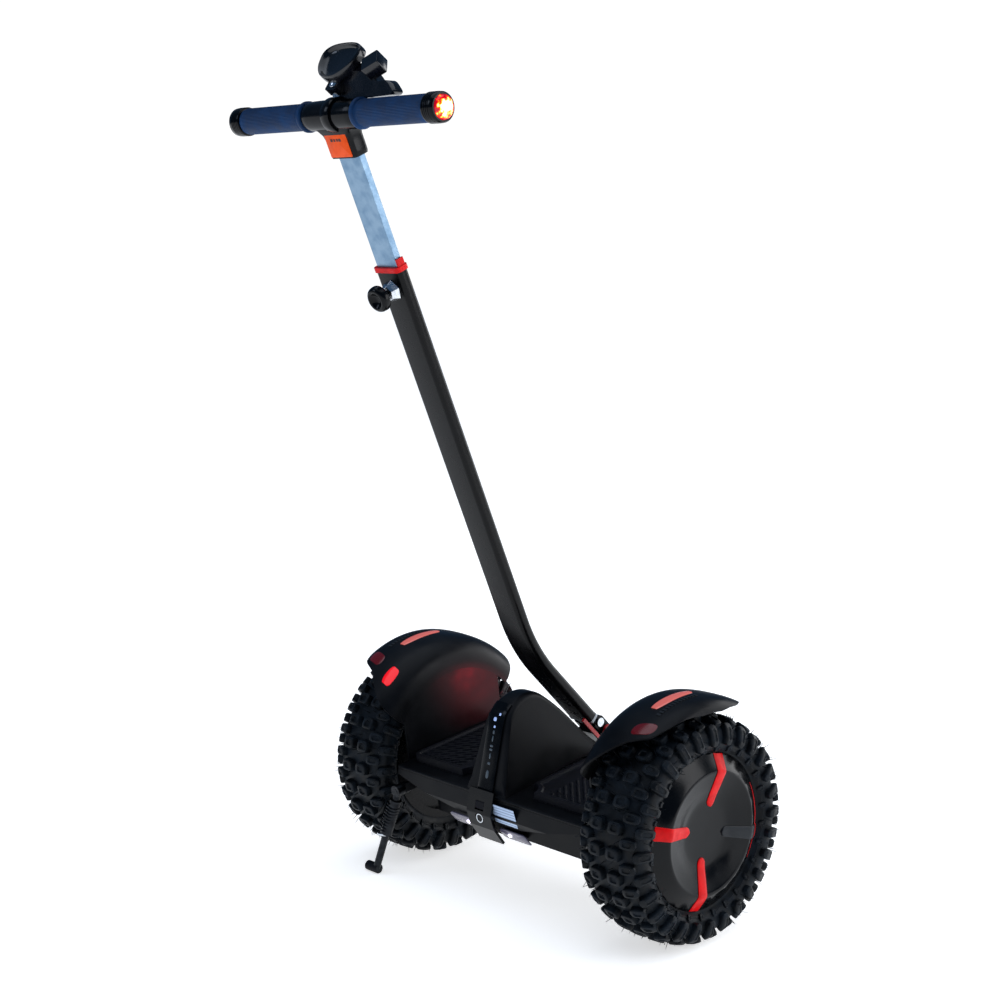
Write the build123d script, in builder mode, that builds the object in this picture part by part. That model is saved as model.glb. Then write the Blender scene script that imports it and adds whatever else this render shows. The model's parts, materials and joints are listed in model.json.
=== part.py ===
from build123d import *
from math import atan2, cos, radians, sin
import os

# A two-wheeled self balancing board with a telescoping handle pole, parked on its wheels and kickstand.
# Row frame: origin on the ground under the axle, +X to the rider's right, +Y forward, +Z up. Sizes in mm.
# The board is drawn level in its own frame on the axle and stands pitched, nose up, by chassis_pitch.

# ---------------------------------------------------------------- driving dimensions
# Stance
wheel_radius = 141.0
wheel_offset = 228.8
chassis_pitch = 8.0

# Tyre and rim
tyre_width = 94.0
tyre_wall = 8.0
tyre_crown_half = 30.0
tyre_shoulder_half = 45.0
tyre_shoulder_drop = 14.0
tyre_side_radius = wheel_radius - 28.0
bead_half = 33.0
bead_radius = wheel_radius - 57.0
bead_height = 14.0
bead_gap_half = 24.0
flange_height = 7.0
flange_wall = 1.8
rim_wall = 4.0

# Hub motor
axle_radius = 8.5
axle_clearance = 0.05
bearing_radius = 20.0
bearing_width = 12.0
cover_wall = 6.0
cover_offset = 20.0
magnet_half = 14.0
magnet_wall = 5.0
air_gap = 0.8
stator_wall = 26.0
stator_ring = 0.55 * bead_radius
stator_web = 8.0
axle_outer_end = 28.0

# Hub cap
cap_radius = bead_radius + 13.0
cap_edge_rise = 1.4
cap_crest_radius = 0.773 * cap_radius
cap_crest_rise = 13.0
cap_dish_radius = 0.392 * cap_radius
cap_dish_rise = 2.6
cap_wall = 2.5
bar_width = 14.0
bar_inner_radius = 0.32 * cap_radius
bar_outer_radius = cap_radius - 3.0
bar_proud = 1.6
bar_count = 4
bar_turn = -12.0

# Board frame, its length from the room between the wheels
shell_gap = 13.8
shell_half_length = wheel_offset - tyre_width / 2 - shell_gap
frame_half_length = shell_half_length - 16.0
frame_end_wall = 20.0
frame_half_width = 60.0
frame_wall = 8.0
frame_corner = 9.0
frame_bottom = -30.0
frame_top = 19.0
frame_roof = 4.0
nut_flats_radius = 13.5
nut_width = 13.0

# Shells
shell_wall = 3.0
deck_top = 26.0
shell_round = 2.5
nose_rear = -110.5
nose_front = 86.0
parting_gap = 0.6
rear_bulge = 5.0
rear_tuck = 8.0
front_bulge = 4.0
front_tuck = 5.0
skin_foot = 4.0
skin_middle = 2.5
parting_height = 22.0
belly_half_length = shell_half_length - 12.0
belly_half_width = 66.0
belly_bottom = -50.0
belly_top = -9.5
belly_corner = 12.0
wing_end_height = 15.0
wing_mid_x = 52.0
wing_mid_height = -11.0
wing_root_x = 24.0
wing_root_height = -28.0
well_half_width = 30.0
well_rear = -88.0
well_front = 60.0

# Console between the feet
console_half = 35.0
console_front_half = 22.0
console_top_half = 22.0
console_rear = -108.5
console_shoulder = (-74.0, 118.5)
console_apex = (-29.0, 137.4)
console_brow = (25.5, 95.4)
console_front = 84.0
console_front_run = (1.0, -1.4)
strip_half = 14.0
strip_wall = 3.0
strip_rise = 0.08
panel_half = 22.0
panel_wall = 3.5
panel_foot = (6.0, -37.0)
panel_chin = (-7.0, -14.0)
panel_bulge = (-10.5, 4.0)
panel_head = (-1.0, 32.0)
button_radius = 7.0
button_gap = 0.3
button_height = -2.5
button_proud = 12.0
port_width = 15.0
port_height = 10.0
port_centre = 14.0
port_opening = (30.0, 30.0)

# Deck pads, lamps and sensors
pad_inner = 45.0
pad_outer = shell_half_length - 3.0
pad_rear = -88.0
pad_front = 77.0
pad_height = 9.6
pad_lip = 8.0
pad_recess = 3.0
pad_corner = 10.0
pad_notch_radius = 20.0
sensor_gap = 0.3
sensor_wall = 3.0
lamp_inner = 27.0
lamp_outer = 58.0
lamp_low = -24.0
lamp_high = -12.0
lamp_depth = 10.0
lamp_gap = 0.3

# Fenders, angles from the rear horizontal over the top of the wheel
fender_wall = 3.0
guard_x = shell_half_length + 0.4
guard_wall = 3.4
guard_rear = -90.0
guard_front = 82.0
guard_radius = wheel_radius - 19.0
fender_crown_radius = wheel_radius + 21.0
fender_edge_radius = wheel_radius + 9.0
fender_edge_x = wheel_offset + 43.2
fender_shoulder = (17.0, 8.0)
fender_brow = (8.0, 4.0)
fender_rear_inner = 40.0
fender_rear_outer = 62.0
fender_front_outer = 118.0
fender_front_inner = 142.0
lens_inner_x = wheel_offset - 9.8
lens_outer_x = wheel_offset + 7.2
lens_rear_angle = 79.0
lens_front_angle = 102.0
lens_wall = 2.0
tail_inner_x = wheel_offset + 0.2
tail_outer_x = wheel_offset + 27.2
tail_rear_angle = 66.5
tail_front_angle = 72.0

# Steering
steer_height = 4.0
steer_shaft_radius = 11.0
steer_clearance = 0.05
steer_bush_wall = 3.0
steer_boss_wall = 4.0
steer_boss_front = 80.0
steer_shaft_rear = 44.0
steer_shaft_front = 147.0
steer_clamp_rear = 107.0
steer_clamp_wall = 8.0
steer_opening = 24.0

# Pole: a straight run leaning back, a bend, and a steeper foot
pole_lean = 24.0
foot_lean = 45.5
knee = (-43.3, wheel_radius + 184.5)
knee_radius = 240.0
foot_length = 150.0
tube_width = 42.0
tube_depth = 16.0
tube_wall = 1.8
tube_corner = 4.0
tube_top = 531.0
collar_overlap = 4.0
collar_lip = 2.0
collar_proud = 1.2
collar_tab = 9.0
inner_width = 36.0
inner_depth = 10.0
inner_wall = 1.6
inner_corner = 1.5
slide_gap = 0.2
liner_length = 80.0
inner_bottom = 300.0
inner_top = 700.0

# Fold at the foot of the pole, t down the foot and n forward from its middle
fold_t = 15.0
fold_n = 3.0
fold_pin_radius = 5.0
fold_gap = 0.05
knuckle_radius = 8.0
tongue_half = 13.6
ear_gap = 0.3
ear_wall = 5.1
ear_radius = 9.0
foot_plug = 40.0
foot_shoulder = 4.0
plug_gap = 0.1
base_top_t = 26.0
base_rear_n = -11.0
base_front_n = 12.0
bolt_head_radius = 6.0
bolt_head_height = 2.6
latch_t = 31.0
latch_n = 2.5
latch_pin_radius = 4.0
latch_eye_radius = 7.0
latch_start = 22.3
latch_wall = 3.0
latch_top_t = -18.0
latch_low_t = 33.0
latch_rear_n = -17.0
latch_bar = 5.0

# Clamp knob
knob_s = 505.0
knob_radius = 15.5
knob_height = 12.0
knob_edge = 4.0
knob_standoff = 18.0
knob_screw_radius = 4.0
knob_boss_radius = 8.0
knob_boss_height = 8.0
knob_tip_gap = 0.3

# Handlebar
head_s = 715.4
bar_setback = 3.4
stem_width = 46.0
stem_depth = 22.0
stem_bottom_s = 668.0
sleeve_radius = 16.5
sleeve_half = 44.0
handlebar_radius = 11.1
handlebar_wall = 1.8
handlebar_half = 176.0
grip_radius = 15.0
grip_inner = 45.0
grip_outer = 161.0
grip_flange_radius = 17.5
grip_flange = 4.0
end_collar_radius = 16.5
end_collar_outer = 180.0
end_lens_radius = 13.0
end_lens_depth = 5.0

# Phone holder on the handlebar sleeve
holder_x = 4.0
holder_band = 14.0
holder_band_wall = 3.0
stalk_radius = 5.0
ball_radius = 8.0
ball_gap = 0.05
ball_rise = 31.0
plate_lean = 35.0
plate_half_top = 39.5
plate_half_low = 22.0
plate_height = 52.0
plate_wall = 5.0
plate_lip = 5.0
plate_lip_height = 6.0
plate_front = 11.0
socket_half = 9.5
socket_start = 3.0
jaw_inner = 46.0
jaw_wall = 12.0
jaw_height = 28.0
jaw_depth = 17.0
jaw_middle = 27.0
jaw_tongue = (14.0, 3.0)
jaw_tongue_length = 36.0
jaw_gap = 0.15
guide_wall = 2.5
guide_start = 6.0
guide_end = 38.0

# Kickstand, in the board's level frame
stand_pivot_x = -frame_half_length - 8.0
stand_pivot_z = -4.0
stand_pin_radius = 4.0
stand_pin_gap = 0.05
stand_lug_rear = -115.0
stand_lug_wall = 9.0
stand_eye_rear = -127.0
stand_eye_gap = 0.4
stand_eye_radius = 8.0
stand_foot_x = stand_pivot_x - 35.0
stand_foot_y = -150.3
stand_rod_radius = 5.0
stand_sleeve_radius = 8.0
stand_sleeve_start = 0.12
stand_sleeve_end = 0.55
stand_foot_radius = 6.5
stand_foot_length = 22.0
bracket_wall = 6.0
bracket_front = -24.0

# Inner parts and fasteners
battery_size = (2 * frame_half_length - 72.0, 100.0, 36.0)
battery_bottom = -45.0
board_size = (2 * frame_half_length - 104.0, 70.0, 8.0)
board_bottom = -3.0
board_centre_y = -8.0
socket_radius = 5.5
socket_wall = 1.5
socket_depth = 14.0
screw_radius = 2.0
screw_head_radius = 3.6
screw_head_height = 2.0
screw_length = 9.0
screw_pitch_x = 2 * belly_half_length - 52.0
screw_pitch_y = 96.0
bracket_bolt_pitch = 22.0

SIDES = ((-1, "left"), (1, "right"))

# ---------------------------------------------------------------- frames
pitch = radians(chassis_pitch)
level = Plane(origin=(0, 0, wheel_radius), x_dir=(1, 0, 0), z_dir=(0, -sin(pitch), cos(pitch)))
axle_axis = Axis((0, 0, wheel_radius), (1, 0, 0))


def side_plane(x):
    """Upright fore-and-aft plane of the board at x: local X is forward, local Y is up."""
    return Plane(origin=(x, 0, wheel_radius), x_dir=level.y_dir, z_dir=(1, 0, 0))


def cross_plane(y):
    """Plane across the board at y, facing the rear: local X is right, local Y is up."""
    return Plane(origin=level.from_local_coords((0, y, 0)), x_dir=(1, 0, 0), z_dir=level.y_dir * -1)


def wheel_plane(x):
    """Plane across the axle at x, upright with the ground: local X is forward, local Y is up."""
    return Plane(origin=(x, 0, wheel_radius), x_dir=(0, 1, 0), z_dir=(1, 0, 0))


def section_plane():
    """Plane for profiles turned about the axle: local X is along the axle, local Y is the radius."""
    return Plane(origin=(0, 0, wheel_radius), x_dir=(1, 0, 0), z_dir=(0, -1, 0))


lean = radians(pole_lean)
knee_point = Vector(0, *knee)
pole_up = Vector(0, -sin(lean), cos(lean))
foot_down = Vector(0, sin(radians(foot_lean)), -cos(radians(foot_lean)))
foot_end = knee_point + foot_down * foot_length
foot_forward = Vector(0, cos(radians(foot_lean)), sin(radians(foot_lean)))


def pole_plane(s):
    """Plane across the straight pole, s above the knee: local X is right, local Y is forward."""
    return Plane(origin=knee_point + pole_up * s, x_dir=(1, 0, 0), z_dir=pole_up)


def foot_plane(x):
    """Plane at x beside the pole's foot: local X is t, down the foot, and local Y is n, forward."""
    return Plane(origin=foot_end + Vector(x, 0, 0), x_dir=foot_down, z_dir=(1, 0, 0))


def save(piece, name):
    """Label a finished piece and write it as one STEP file."""
    piece.part.label = name
    export_step(piece.part, f"parts/{name}.step")


def thick_line(points, wall):
    """Face of one wall's thickness on the left of a run of points."""
    with BuildSketch() as strip:
        with BuildLine():
            Polyline(*points)
            offset(amount=wall, side=Side.LEFT)
        make_face()
    return strip.sketch


# ---------------------------------------------------------------- wheels
def cap_curve(lift):
    """Hub cap's outer face from its edge to its middle, as (out from wheel centre, radius) points."""
    edge = bead_half + cap_edge_rise + lift
    return (
        (edge, cap_radius),
        (edge + cap_crest_rise, cap_crest_radius),
        (edge + cap_dish_rise, cap_dish_radius),
        (edge + cap_dish_rise / 2, 0),
    )


def cap_shell(side, low, high):
    """Face between two heights of the hub cap's curve, ready to turn about the axle."""
    with BuildSketch() as shell:
        with BuildLine():
            for lift in (low, high):
                Spline(*[(side * (wheel_offset + x), r) for x, r in cap_curve(lift)])
            for end in (0, -1):
                Line(*[(side * (wheel_offset + cap_curve(lift)[end][0]), cap_curve(lift)[end][1])
                       for lift in (low, high)])
        make_face()
    return shell.sketch


for side, hand in SIDES:
    centre = side * wheel_offset

    with BuildPart() as tyre:
        with BuildSketch(section_plane()):
            with BuildLine():
                half_outline = [
                    (bead_half, bead_radius),
                    (bead_half, bead_radius + bead_height),
                    (tyre_width / 2, tyre_side_radius),
                    (tyre_shoulder_half, wheel_radius - tyre_shoulder_drop),
                    (tyre_crown_half, wheel_radius),
                ]
                mirrored = [(-x, r) for x, r in reversed(half_outline)]
                Polyline(*[(centre + x, r) for x, r in half_outline + mirrored], close=True)
            make_face()
            offset(amount=-tyre_wall, kind=Kind.INTERSECTION, mode=Mode.SUBTRACT)
            with Locations((centre, bead_radius + tyre_wall / 2)):
                Rectangle(2 * bead_gap_half, 2 * tyre_wall, mode=Mode.SUBTRACT)
        revolve(axis=axle_axis)
    save(tyre, f"tyre_{hand}")

    drum_radius = bead_radius - rim_wall
    with BuildPart() as rim:
        with BuildSketch(section_plane()):
            with Locations((centre, bead_radius - rim_wall / 2)):
                Rectangle(2 * (bead_half + flange_wall), rim_wall)
            for flange in (-1, 1):
                flange_x = centre + flange * (bead_half + flange_wall / 2)
                with Locations((flange_x, bead_radius + flange_height / 2 - rim_wall / 2)):
                    Rectangle(flange_wall, flange_height + rim_wall)
            with Locations((centre + side * (cover_offset + cover_wall / 2), (drum_radius + bearing_radius) / 2)):
                Rectangle(cover_wall, drum_radius - bearing_radius)
        revolve(axis=axle_axis)
    save(rim, f"rim_{hand}")

    with BuildPart() as motor_cover:
        with BuildSketch(section_plane()):
            with Locations((centre - side * (cover_offset + cover_wall / 2), (drum_radius + bearing_radius) / 2)):
                Rectangle(cover_wall, drum_radius - bearing_radius)
        revolve(axis=axle_axis)
    save(motor_cover, f"motor_cover_{hand}")

    with BuildPart() as magnet_ring:
        with BuildSketch(section_plane()):
            with Locations((centre, drum_radius - magnet_wall / 2)):
                Rectangle(2 * magnet_half, magnet_wall)
        revolve(axis=axle_axis)
    save(magnet_ring, f"magnet_ring_{hand}")

    bearing_bore = axle_radius + axle_clearance
    with BuildPart() as bearings:
        with BuildSketch(section_plane()):
            for row in (-1, 1):
                bearing_x = centre + row * (cover_offset + cover_wall - bearing_width / 2)
                with Locations((bearing_x, (bearing_radius + bearing_bore) / 2)):
                    Rectangle(bearing_width, bearing_radius - bearing_bore)
        revolve(axis=axle_axis)
    save(bearings, f"wheel_bearings_{hand}")

    with BuildPart() as hub_cap:
        with BuildSketch(section_plane()):
            add(cap_shell(side, 0, cap_wall))
        revolve(axis=axle_axis)
    save(hub_cap, f"hub_cap_{hand}")

    with BuildPart() as cap_bars:
        with BuildSketch(section_plane()):
            add(cap_shell(side, cap_wall, cap_wall + bar_proud))
        revolve(axis=axle_axis)
        with BuildSketch(wheel_plane(centre)):
            with PolarLocations((bar_inner_radius + bar_outer_radius) / 2, bar_count, start_angle=90 + bar_turn):
                SlotOverall(bar_outer_radius - bar_inner_radius, bar_width)
        extrude(amount=side * tyre_width, mode=Mode.INTERSECT)
    save(cap_bars, f"cap_bars_{hand}")

with BuildPart() as axles:
    for side, hand in SIDES:
        axle_start = side * (frame_half_length - frame_end_wall - nut_width - cover_wall)
        axle_end = side * (wheel_offset + axle_outer_end)
        with BuildSketch(wheel_plane(axle_start)):
            Circle(axle_radius)
        extrude(amount=axle_end - axle_start)
save(axles, "axles")

stator_radius = bead_radius - rim_wall - magnet_wall - air_gap
with BuildPart() as stators:
    with BuildSketch(section_plane()):
        for side, hand in SIDES:
            with Locations((side * wheel_offset, (stator_radius + stator_ring) / 2)):
                Rectangle(stator_wall, stator_radius - stator_ring)
            with Locations((side * wheel_offset, (stator_ring + axle_radius) / 2)):
                Rectangle(stator_web, stator_ring - axle_radius)
    revolve(axis=axle_axis)
save(stators, "stators")

with BuildPart() as axle_nuts:
    for side, hand in SIDES:
        with BuildSketch(side_plane(side * (frame_half_length - frame_end_wall))):
            RegularPolygon(nut_flats_radius, 6)
            Circle(axle_radius, mode=Mode.SUBTRACT)
        extrude(amount=-side * nut_width)
save(axle_nuts, "axle_nuts")

# ---------------------------------------------------------------- board frame and inner parts
bush_radius = steer_shaft_radius + steer_clearance + steer_bush_wall
with BuildPart() as frame_casting:
    with BuildSketch(level.offset(frame_bottom)):
        RectangleRounded(2 * frame_half_length, 2 * frame_half_width, frame_corner)
    extrude(amount=frame_top - frame_bottom)
    with BuildSketch(level.offset(frame_bottom)):
        Rectangle(2 * (frame_half_length - frame_end_wall), 2 * (frame_half_width - frame_wall))
    extrude(amount=frame_top - frame_bottom - frame_roof, mode=Mode.SUBTRACT)
    with BuildSketch(cross_plane(steer_boss_front)):
        with Locations((0, steer_height)):
            Circle(bush_radius + steer_boss_wall)
    extrude(amount=steer_boss_front - frame_half_width)
    with BuildSketch(cross_plane(steer_boss_front)):
        with Locations((0, steer_height)):
            Circle(bush_radius)
    extrude(amount=steer_boss_front - frame_half_width + frame_wall, mode=Mode.SUBTRACT)
    with BuildSketch(side_plane(-frame_half_length)):
        Circle(axle_radius)
    extrude(amount=2 * frame_half_length, mode=Mode.SUBTRACT)
save(frame_casting, "frame_casting")

with BuildPart() as steering_bush:
    with BuildSketch(cross_plane(steer_boss_front)):
        with Locations((0, steer_height)):
            Circle(bush_radius)
            Circle(steer_shaft_radius + steer_clearance, mode=Mode.SUBTRACT)
    extrude(amount=steer_boss_front - frame_half_width + frame_wall)
save(steering_bush, "steering_bush")

with BuildPart() as battery_pack:
    with BuildSketch(level.offset(battery_bottom)):
        Rectangle(battery_size[0], battery_size[1])
    extrude(amount=battery_size[2])
    fillet(battery_pack.edges().filter_by(Axis((0, 0, 0), level.z_dir)), radius=belly_corner / 2)
save(battery_pack, "battery_pack")

with BuildPart() as control_board:
    with BuildSketch(level.offset(board_bottom)):
        with Locations((0, board_centre_y)):
            Rectangle(board_size[0], board_size[1])
    extrude(amount=board_size[2])
save(control_board, "control_board")

# ---------------------------------------------------------------- shells
wing_keep = [
    (wing_root_x, belly_bottom),
    (wing_root_x, wing_root_height),
    (wing_mid_x, wing_mid_height),
    (shell_half_length, wing_end_height),
    (shell_half_length, deck_top),
]


def wing(points):
    """Curved skin across the board whose lower edge rises from its middle to its ends."""
    with BuildPart() as skin:
        with BuildSketch(side_plane(-shell_half_length)):
            add(thick_line(points, shell_wall))
        extrude(amount=2 * shell_half_length)
        with BuildSketch(cross_plane(-2 * belly_half_width)):
            with BuildLine():
                Polyline(*wing_keep, *[(-x, z) for x, z in reversed(wing_keep)], close=True)
            make_face()
        extrude(amount=-4 * belly_half_width, mode=Mode.INTERSECT)
    return skin.part


rear_skin = [
    (nose_rear, parting_height),
    (nose_rear - rear_bulge, skin_middle),
    (nose_rear + rear_tuck, wing_root_height),
    (-belly_half_width, belly_bottom + skin_foot),
]
front_skin = [
    (belly_half_width, belly_bottom + skin_foot),
    (nose_front - front_tuck, wing_root_height),
    (nose_front + front_bulge, skin_middle),
    (nose_front, parting_height),
]
rear_wing = wing(rear_skin)
front_wing = wing(front_skin)

with BuildPart() as lower_shell:
    with BuildSketch(level.offset(belly_bottom)):
        RectangleRounded(2 * belly_half_length, 2 * belly_half_width, belly_corner)
    extrude(amount=belly_top - belly_bottom)
    add(rear_wing)
    add(front_wing)
    with BuildSketch(level.offset(belly_bottom + shell_wall)):
        inner_corner_radius = belly_corner - shell_wall
        RectangleRounded(2 * (belly_half_length - shell_wall), 2 * (belly_half_width - shell_wall),
                         inner_corner_radius)
    extrude(amount=belly_top - belly_bottom, mode=Mode.SUBTRACT)
    with BuildSketch(cross_plane(nose_front + steer_opening)):
        with Locations((0, steer_height)):
            Circle(steer_opening)
    extrude(amount=nose_front + steer_opening - frame_half_width, mode=Mode.SUBTRACT)
    with BuildSketch(cross_plane(nose_rear + 2 * lamp_depth)):
        with Locations((0, (port_centre + button_height) / 2)):
            Rectangle(*port_opening)
    extrude(amount=4 * lamp_depth, mode=Mode.SUBTRACT)
    with BuildSketch(cross_plane(nose_rear + 2 * lamp_depth)):
        for side, hand in SIDES:
            with Locations((side * (lamp_inner + lamp_outer) / 2, (lamp_low + lamp_high) / 2)):
                Rectangle(lamp_outer - lamp_inner + 2 * lamp_gap, lamp_high - lamp_low + 2 * lamp_gap)
    extrude(amount=4 * lamp_depth, mode=Mode.SUBTRACT)
save(lower_shell, "lower_shell")

with BuildPart() as headlight_lenses:
    with BuildSketch(cross_plane(nose_rear + lamp_depth)):
        for side, hand in SIDES:
            with Locations((side * (lamp_inner + lamp_outer) / 2, (lamp_low + lamp_high) / 2)):
                Rectangle(lamp_outer - lamp_inner, lamp_high - lamp_low)
    extrude(amount=lamp_depth + shell_wall)
save(headlight_lenses, "headlight_lenses")

with BuildPart() as upper_shell:
    with BuildSketch(side_plane(-shell_half_length)):
        add(thick_line([
            (nose_front, parting_height + parting_gap),
            (nose_front, deck_top),
            (nose_rear, deck_top),
            (nose_rear, parting_height + parting_gap),
        ], shell_wall))
    extrude(amount=2 * shell_half_length)
    deck_edges = upper_shell.edges().filter_by(Axis.X).group_by(Axis(level.origin, level.z_dir))[-1]
    fillet(deck_edges, radius=shell_round)
    with BuildSketch(level.offset(deck_top)):
        with Locations((0, (well_rear + well_front) / 2)):
            Rectangle(2 * well_half_width, well_front - well_rear)
    extrude(amount=-2 * shell_wall, mode=Mode.SUBTRACT)
save(upper_shell, "upper_shell")


with BuildPart() as console_cover:
    with BuildSketch(side_plane(-console_half)):
        with BuildLine():
            foot = (console_rear, deck_top)
            rear_run = (console_shoulder[0] - foot[0], console_shoulder[1] - foot[1])
            Line(foot, console_shoulder)
            Spline(console_shoulder, console_apex, console_brow, (console_front, deck_top),
                   tangents=(rear_run, console_front_run))
            Line((console_front, deck_top), foot)
        make_face()
    extrude(amount=2 * console_half)
    with BuildSketch(cross_plane(2 * console_rear)):
        with BuildLine():
            Polyline((-console_half, deck_top), (console_half, deck_top),
                     (console_top_half, console_apex[1]), (-console_top_half, console_apex[1]), close=True)
        make_face()
    extrude(amount=3 * console_rear, mode=Mode.INTERSECT)
    with BuildSketch(level.offset(deck_top)):
        with BuildLine():
            Polyline((-console_half, console_rear), (console_half, console_rear),
                     (console_front_half, console_front), (-console_front_half, console_front), close=True)
        make_face()
    extrude(amount=console_apex[1], mode=Mode.INTERSECT)
    level_up = Axis(level.origin, level.z_dir)
    offset(amount=-shell_wall, openings=console_cover.faces().sort_by(level_up)[0])
save(console_cover, "console_cover")

strip_top = (console_shoulder[0] + strip_rise * rear_run[0], console_shoulder[1] + strip_rise * rear_run[1])
with BuildPart() as console_strip:
    with BuildSketch(side_plane(-strip_half)):
        add(thick_line([(console_rear, deck_top), console_shoulder, strip_top], strip_wall))
    extrude(amount=2 * strip_half)
save(console_strip, "console_strip")

panel_line = [(nose_rear + y, z) for y, z in (panel_foot, panel_chin, panel_bulge, panel_head)]
with BuildPart() as rear_panel:
    with BuildSketch(side_plane(-panel_half)):
        add(thick_line(panel_line, panel_wall))
    extrude(amount=2 * panel_half)
    with BuildSketch(cross_plane(2 * nose_rear)):
        with Locations((0, button_height)):
            Circle(button_radius + button_gap)
        with Locations((0, port_centre)):
            Rectangle(port_width + 2 * button_gap, port_height + 4 * button_gap)
    extrude(amount=nose_rear, mode=Mode.SUBTRACT)
save(rear_panel, "rear_panel")

button_face = nose_rear - button_proud
with BuildPart() as power_button:
    with BuildSketch(cross_plane(button_face + panel_wall)):
        with Locations((0, button_height)):
            Circle(button_radius)
    extrude(amount=panel_wall)
save(power_button, "power_button")

flap_foot = Vector(panel_line[2])
flap_head = Vector(panel_line[3])
flap_dir = (flap_head - flap_foot).normalized()
flap_angle = atan2(flap_dir.X, flap_dir.Y)
flap_middle = flap_foot + flap_dir * ((port_centre - flap_foot.Y) / flap_dir.Y)
flap_plane = Plane(
    origin=level.from_local_coords((0, flap_middle.X, flap_middle.Y)),
    x_dir=(1, 0, 0),
    z_dir=level.y_dir * -cos(flap_angle) + level.z_dir * sin(flap_angle),
)
flap_round = shell_wall / 2
flap_half = port_height / 2 - button_gap
hinge_plane = Plane(
    origin=flap_plane.from_local_coords((-port_width / 2, flap_half - flap_round, panel_wall - flap_round)),
    x_dir=flap_plane.y_dir,
    z_dir=(1, 0, 0),
)
with BuildPart() as charge_flap:
    with BuildSketch(hinge_plane):
        Circle(flap_round)
        with Locations((flap_round / 2 - flap_half, 0)):
            Rectangle(2 * flap_half - flap_round, shell_wall)
    extrude(amount=port_width)
save(charge_flap, "charge_flap")

with BuildPart() as charge_socket:
    with BuildSketch(cross_plane(nose_rear + socket_depth)):
        with Locations((0, port_centre)):
            Circle(socket_radius + socket_wall)
    extrude(amount=socket_depth - shell_wall)
    with BuildSketch(cross_plane(nose_rear + shell_wall)):
        with Locations((0, port_centre)):
            Circle(socket_radius)
    extrude(amount=socket_wall - socket_depth + shell_wall, mode=Mode.SUBTRACT)
save(charge_socket, "charge_socket")

for side, hand in SIDES:
    pad_middle = (side * (pad_inner + pad_outer) / 2, (pad_rear + pad_front) / 2)
    pad_size = (pad_outer - pad_inner, pad_front - pad_rear)
    with BuildPart() as deck_pad:
        with BuildSketch(level.offset(deck_top)):
            with Locations(pad_middle):
                RectangleRounded(*pad_size, pad_corner)
            with Locations((side * pad_inner, pad_rear)):
                Circle(pad_notch_radius, mode=Mode.SUBTRACT)
        extrude(amount=pad_height)
        with BuildSketch(level.offset(deck_top + pad_height)):
            with Locations(pad_middle):
                RectangleRounded(pad_size[0] - 2 * pad_lip, pad_size[1] - 2 * pad_lip, pad_corner / 2)
            with Locations((side * pad_inner, pad_rear)):
                Circle(pad_notch_radius + pad_lip, mode=Mode.SUBTRACT)
        extrude(amount=-pad_recess, mode=Mode.SUBTRACT)
    save(deck_pad, f"deck_pad_{hand}")

with BuildPart() as foot_sensors:
    with BuildSketch(level.offset(frame_top + sensor_gap)):
        for side, hand in SIDES:
            with Locations((side * (pad_inner + frame_half_length) / 2, 0)):
                Rectangle(frame_half_length - pad_inner - 2 * pad_lip, frame_half_width)
    extrude(amount=sensor_wall)
save(foot_sensors, "foot_sensors")

# ---------------------------------------------------------------- fenders
level_axis = Axis(level.from_local_coords((0, 0, 0)), (1, 0, 0))


def over_wheel(x, radius, angle):
    """Point over a wheel, its angle counted from the rear horizontal over the top."""
    turn = radians(angle)
    return level.from_local_coords((x, -radius * cos(turn), radius * sin(turn)))


def sweep_plane(angle):
    """Half plane through the axle at one angle over the wheel: local X along it, local Y outward."""
    turn = radians(angle)
    outward = level.y_dir * -cos(turn) + level.z_dir * sin(turn)
    return Plane(origin=level.origin, x_dir=(1, 0, 0), z_dir=Vector(1, 0, 0).cross(outward))


def fender_line(side):
    """Fender's outer section as (x, radius) points, from the guard wall over the crown to the edge."""
    crown = fender_crown_radius
    return [
        (side * guard_x, guard_radius),
        (side * (guard_x + fender_shoulder[0]), crown - fender_shoulder[1]),
        (side * (lens_inner_x - lens_wall), crown),
        (side * (tail_outer_x + lens_wall), crown),
        (side * (fender_edge_x - fender_brow[0]), crown - fender_brow[1]),
        (side * fender_edge_x, fender_edge_radius),
    ]


def fender_end(side, inner_angle, outer_angle):
    """Cutting plane across a fender from its guard wall to its outer edge, facing the top of the wheel."""
    inner = over_wheel(side * guard_x, guard_radius, inner_angle)
    outer = over_wheel(side * fender_edge_x, fender_edge_radius, outer_angle)
    spoke = inner - over_wheel(side * guard_x, 0, inner_angle)
    across = outer - inner
    normal = across.cross(spoke)
    if normal.dot(over_wheel(side * wheel_offset, fender_crown_radius, 90) - inner) < 0:
        normal = normal * -1
    return Plane(origin=inner, x_dir=across, z_dir=normal)


for side, hand in SIDES:
    section = fender_line(side)
    with BuildPart() as fender:
        with BuildSketch(sweep_plane(fender_rear_inner)):
            add(thick_line(section if side < 0 else section[::-1], fender_wall))
        revolve(axis=level_axis, revolution_arc=fender_rear_inner - fender_front_inner)
        split(bisect_by=fender_end(side, fender_rear_inner, fender_rear_outer), keep=Keep.TOP)
        split(bisect_by=fender_end(side, fender_front_inner, fender_front_outer), keep=Keep.TOP)
        with BuildSketch(side_plane(side * guard_x)):
            Circle(guard_radius + fender_wall)
            guard_middle = (guard_rear + guard_front) / 2
            with Locations((guard_middle, parting_height + parting_gap + guard_radius)):
                Rectangle(guard_front - guard_rear, 2 * guard_radius, mode=Mode.INTERSECT)
        extrude(amount=side * guard_wall)
    save(fender, f"fender_{hand}")


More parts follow.
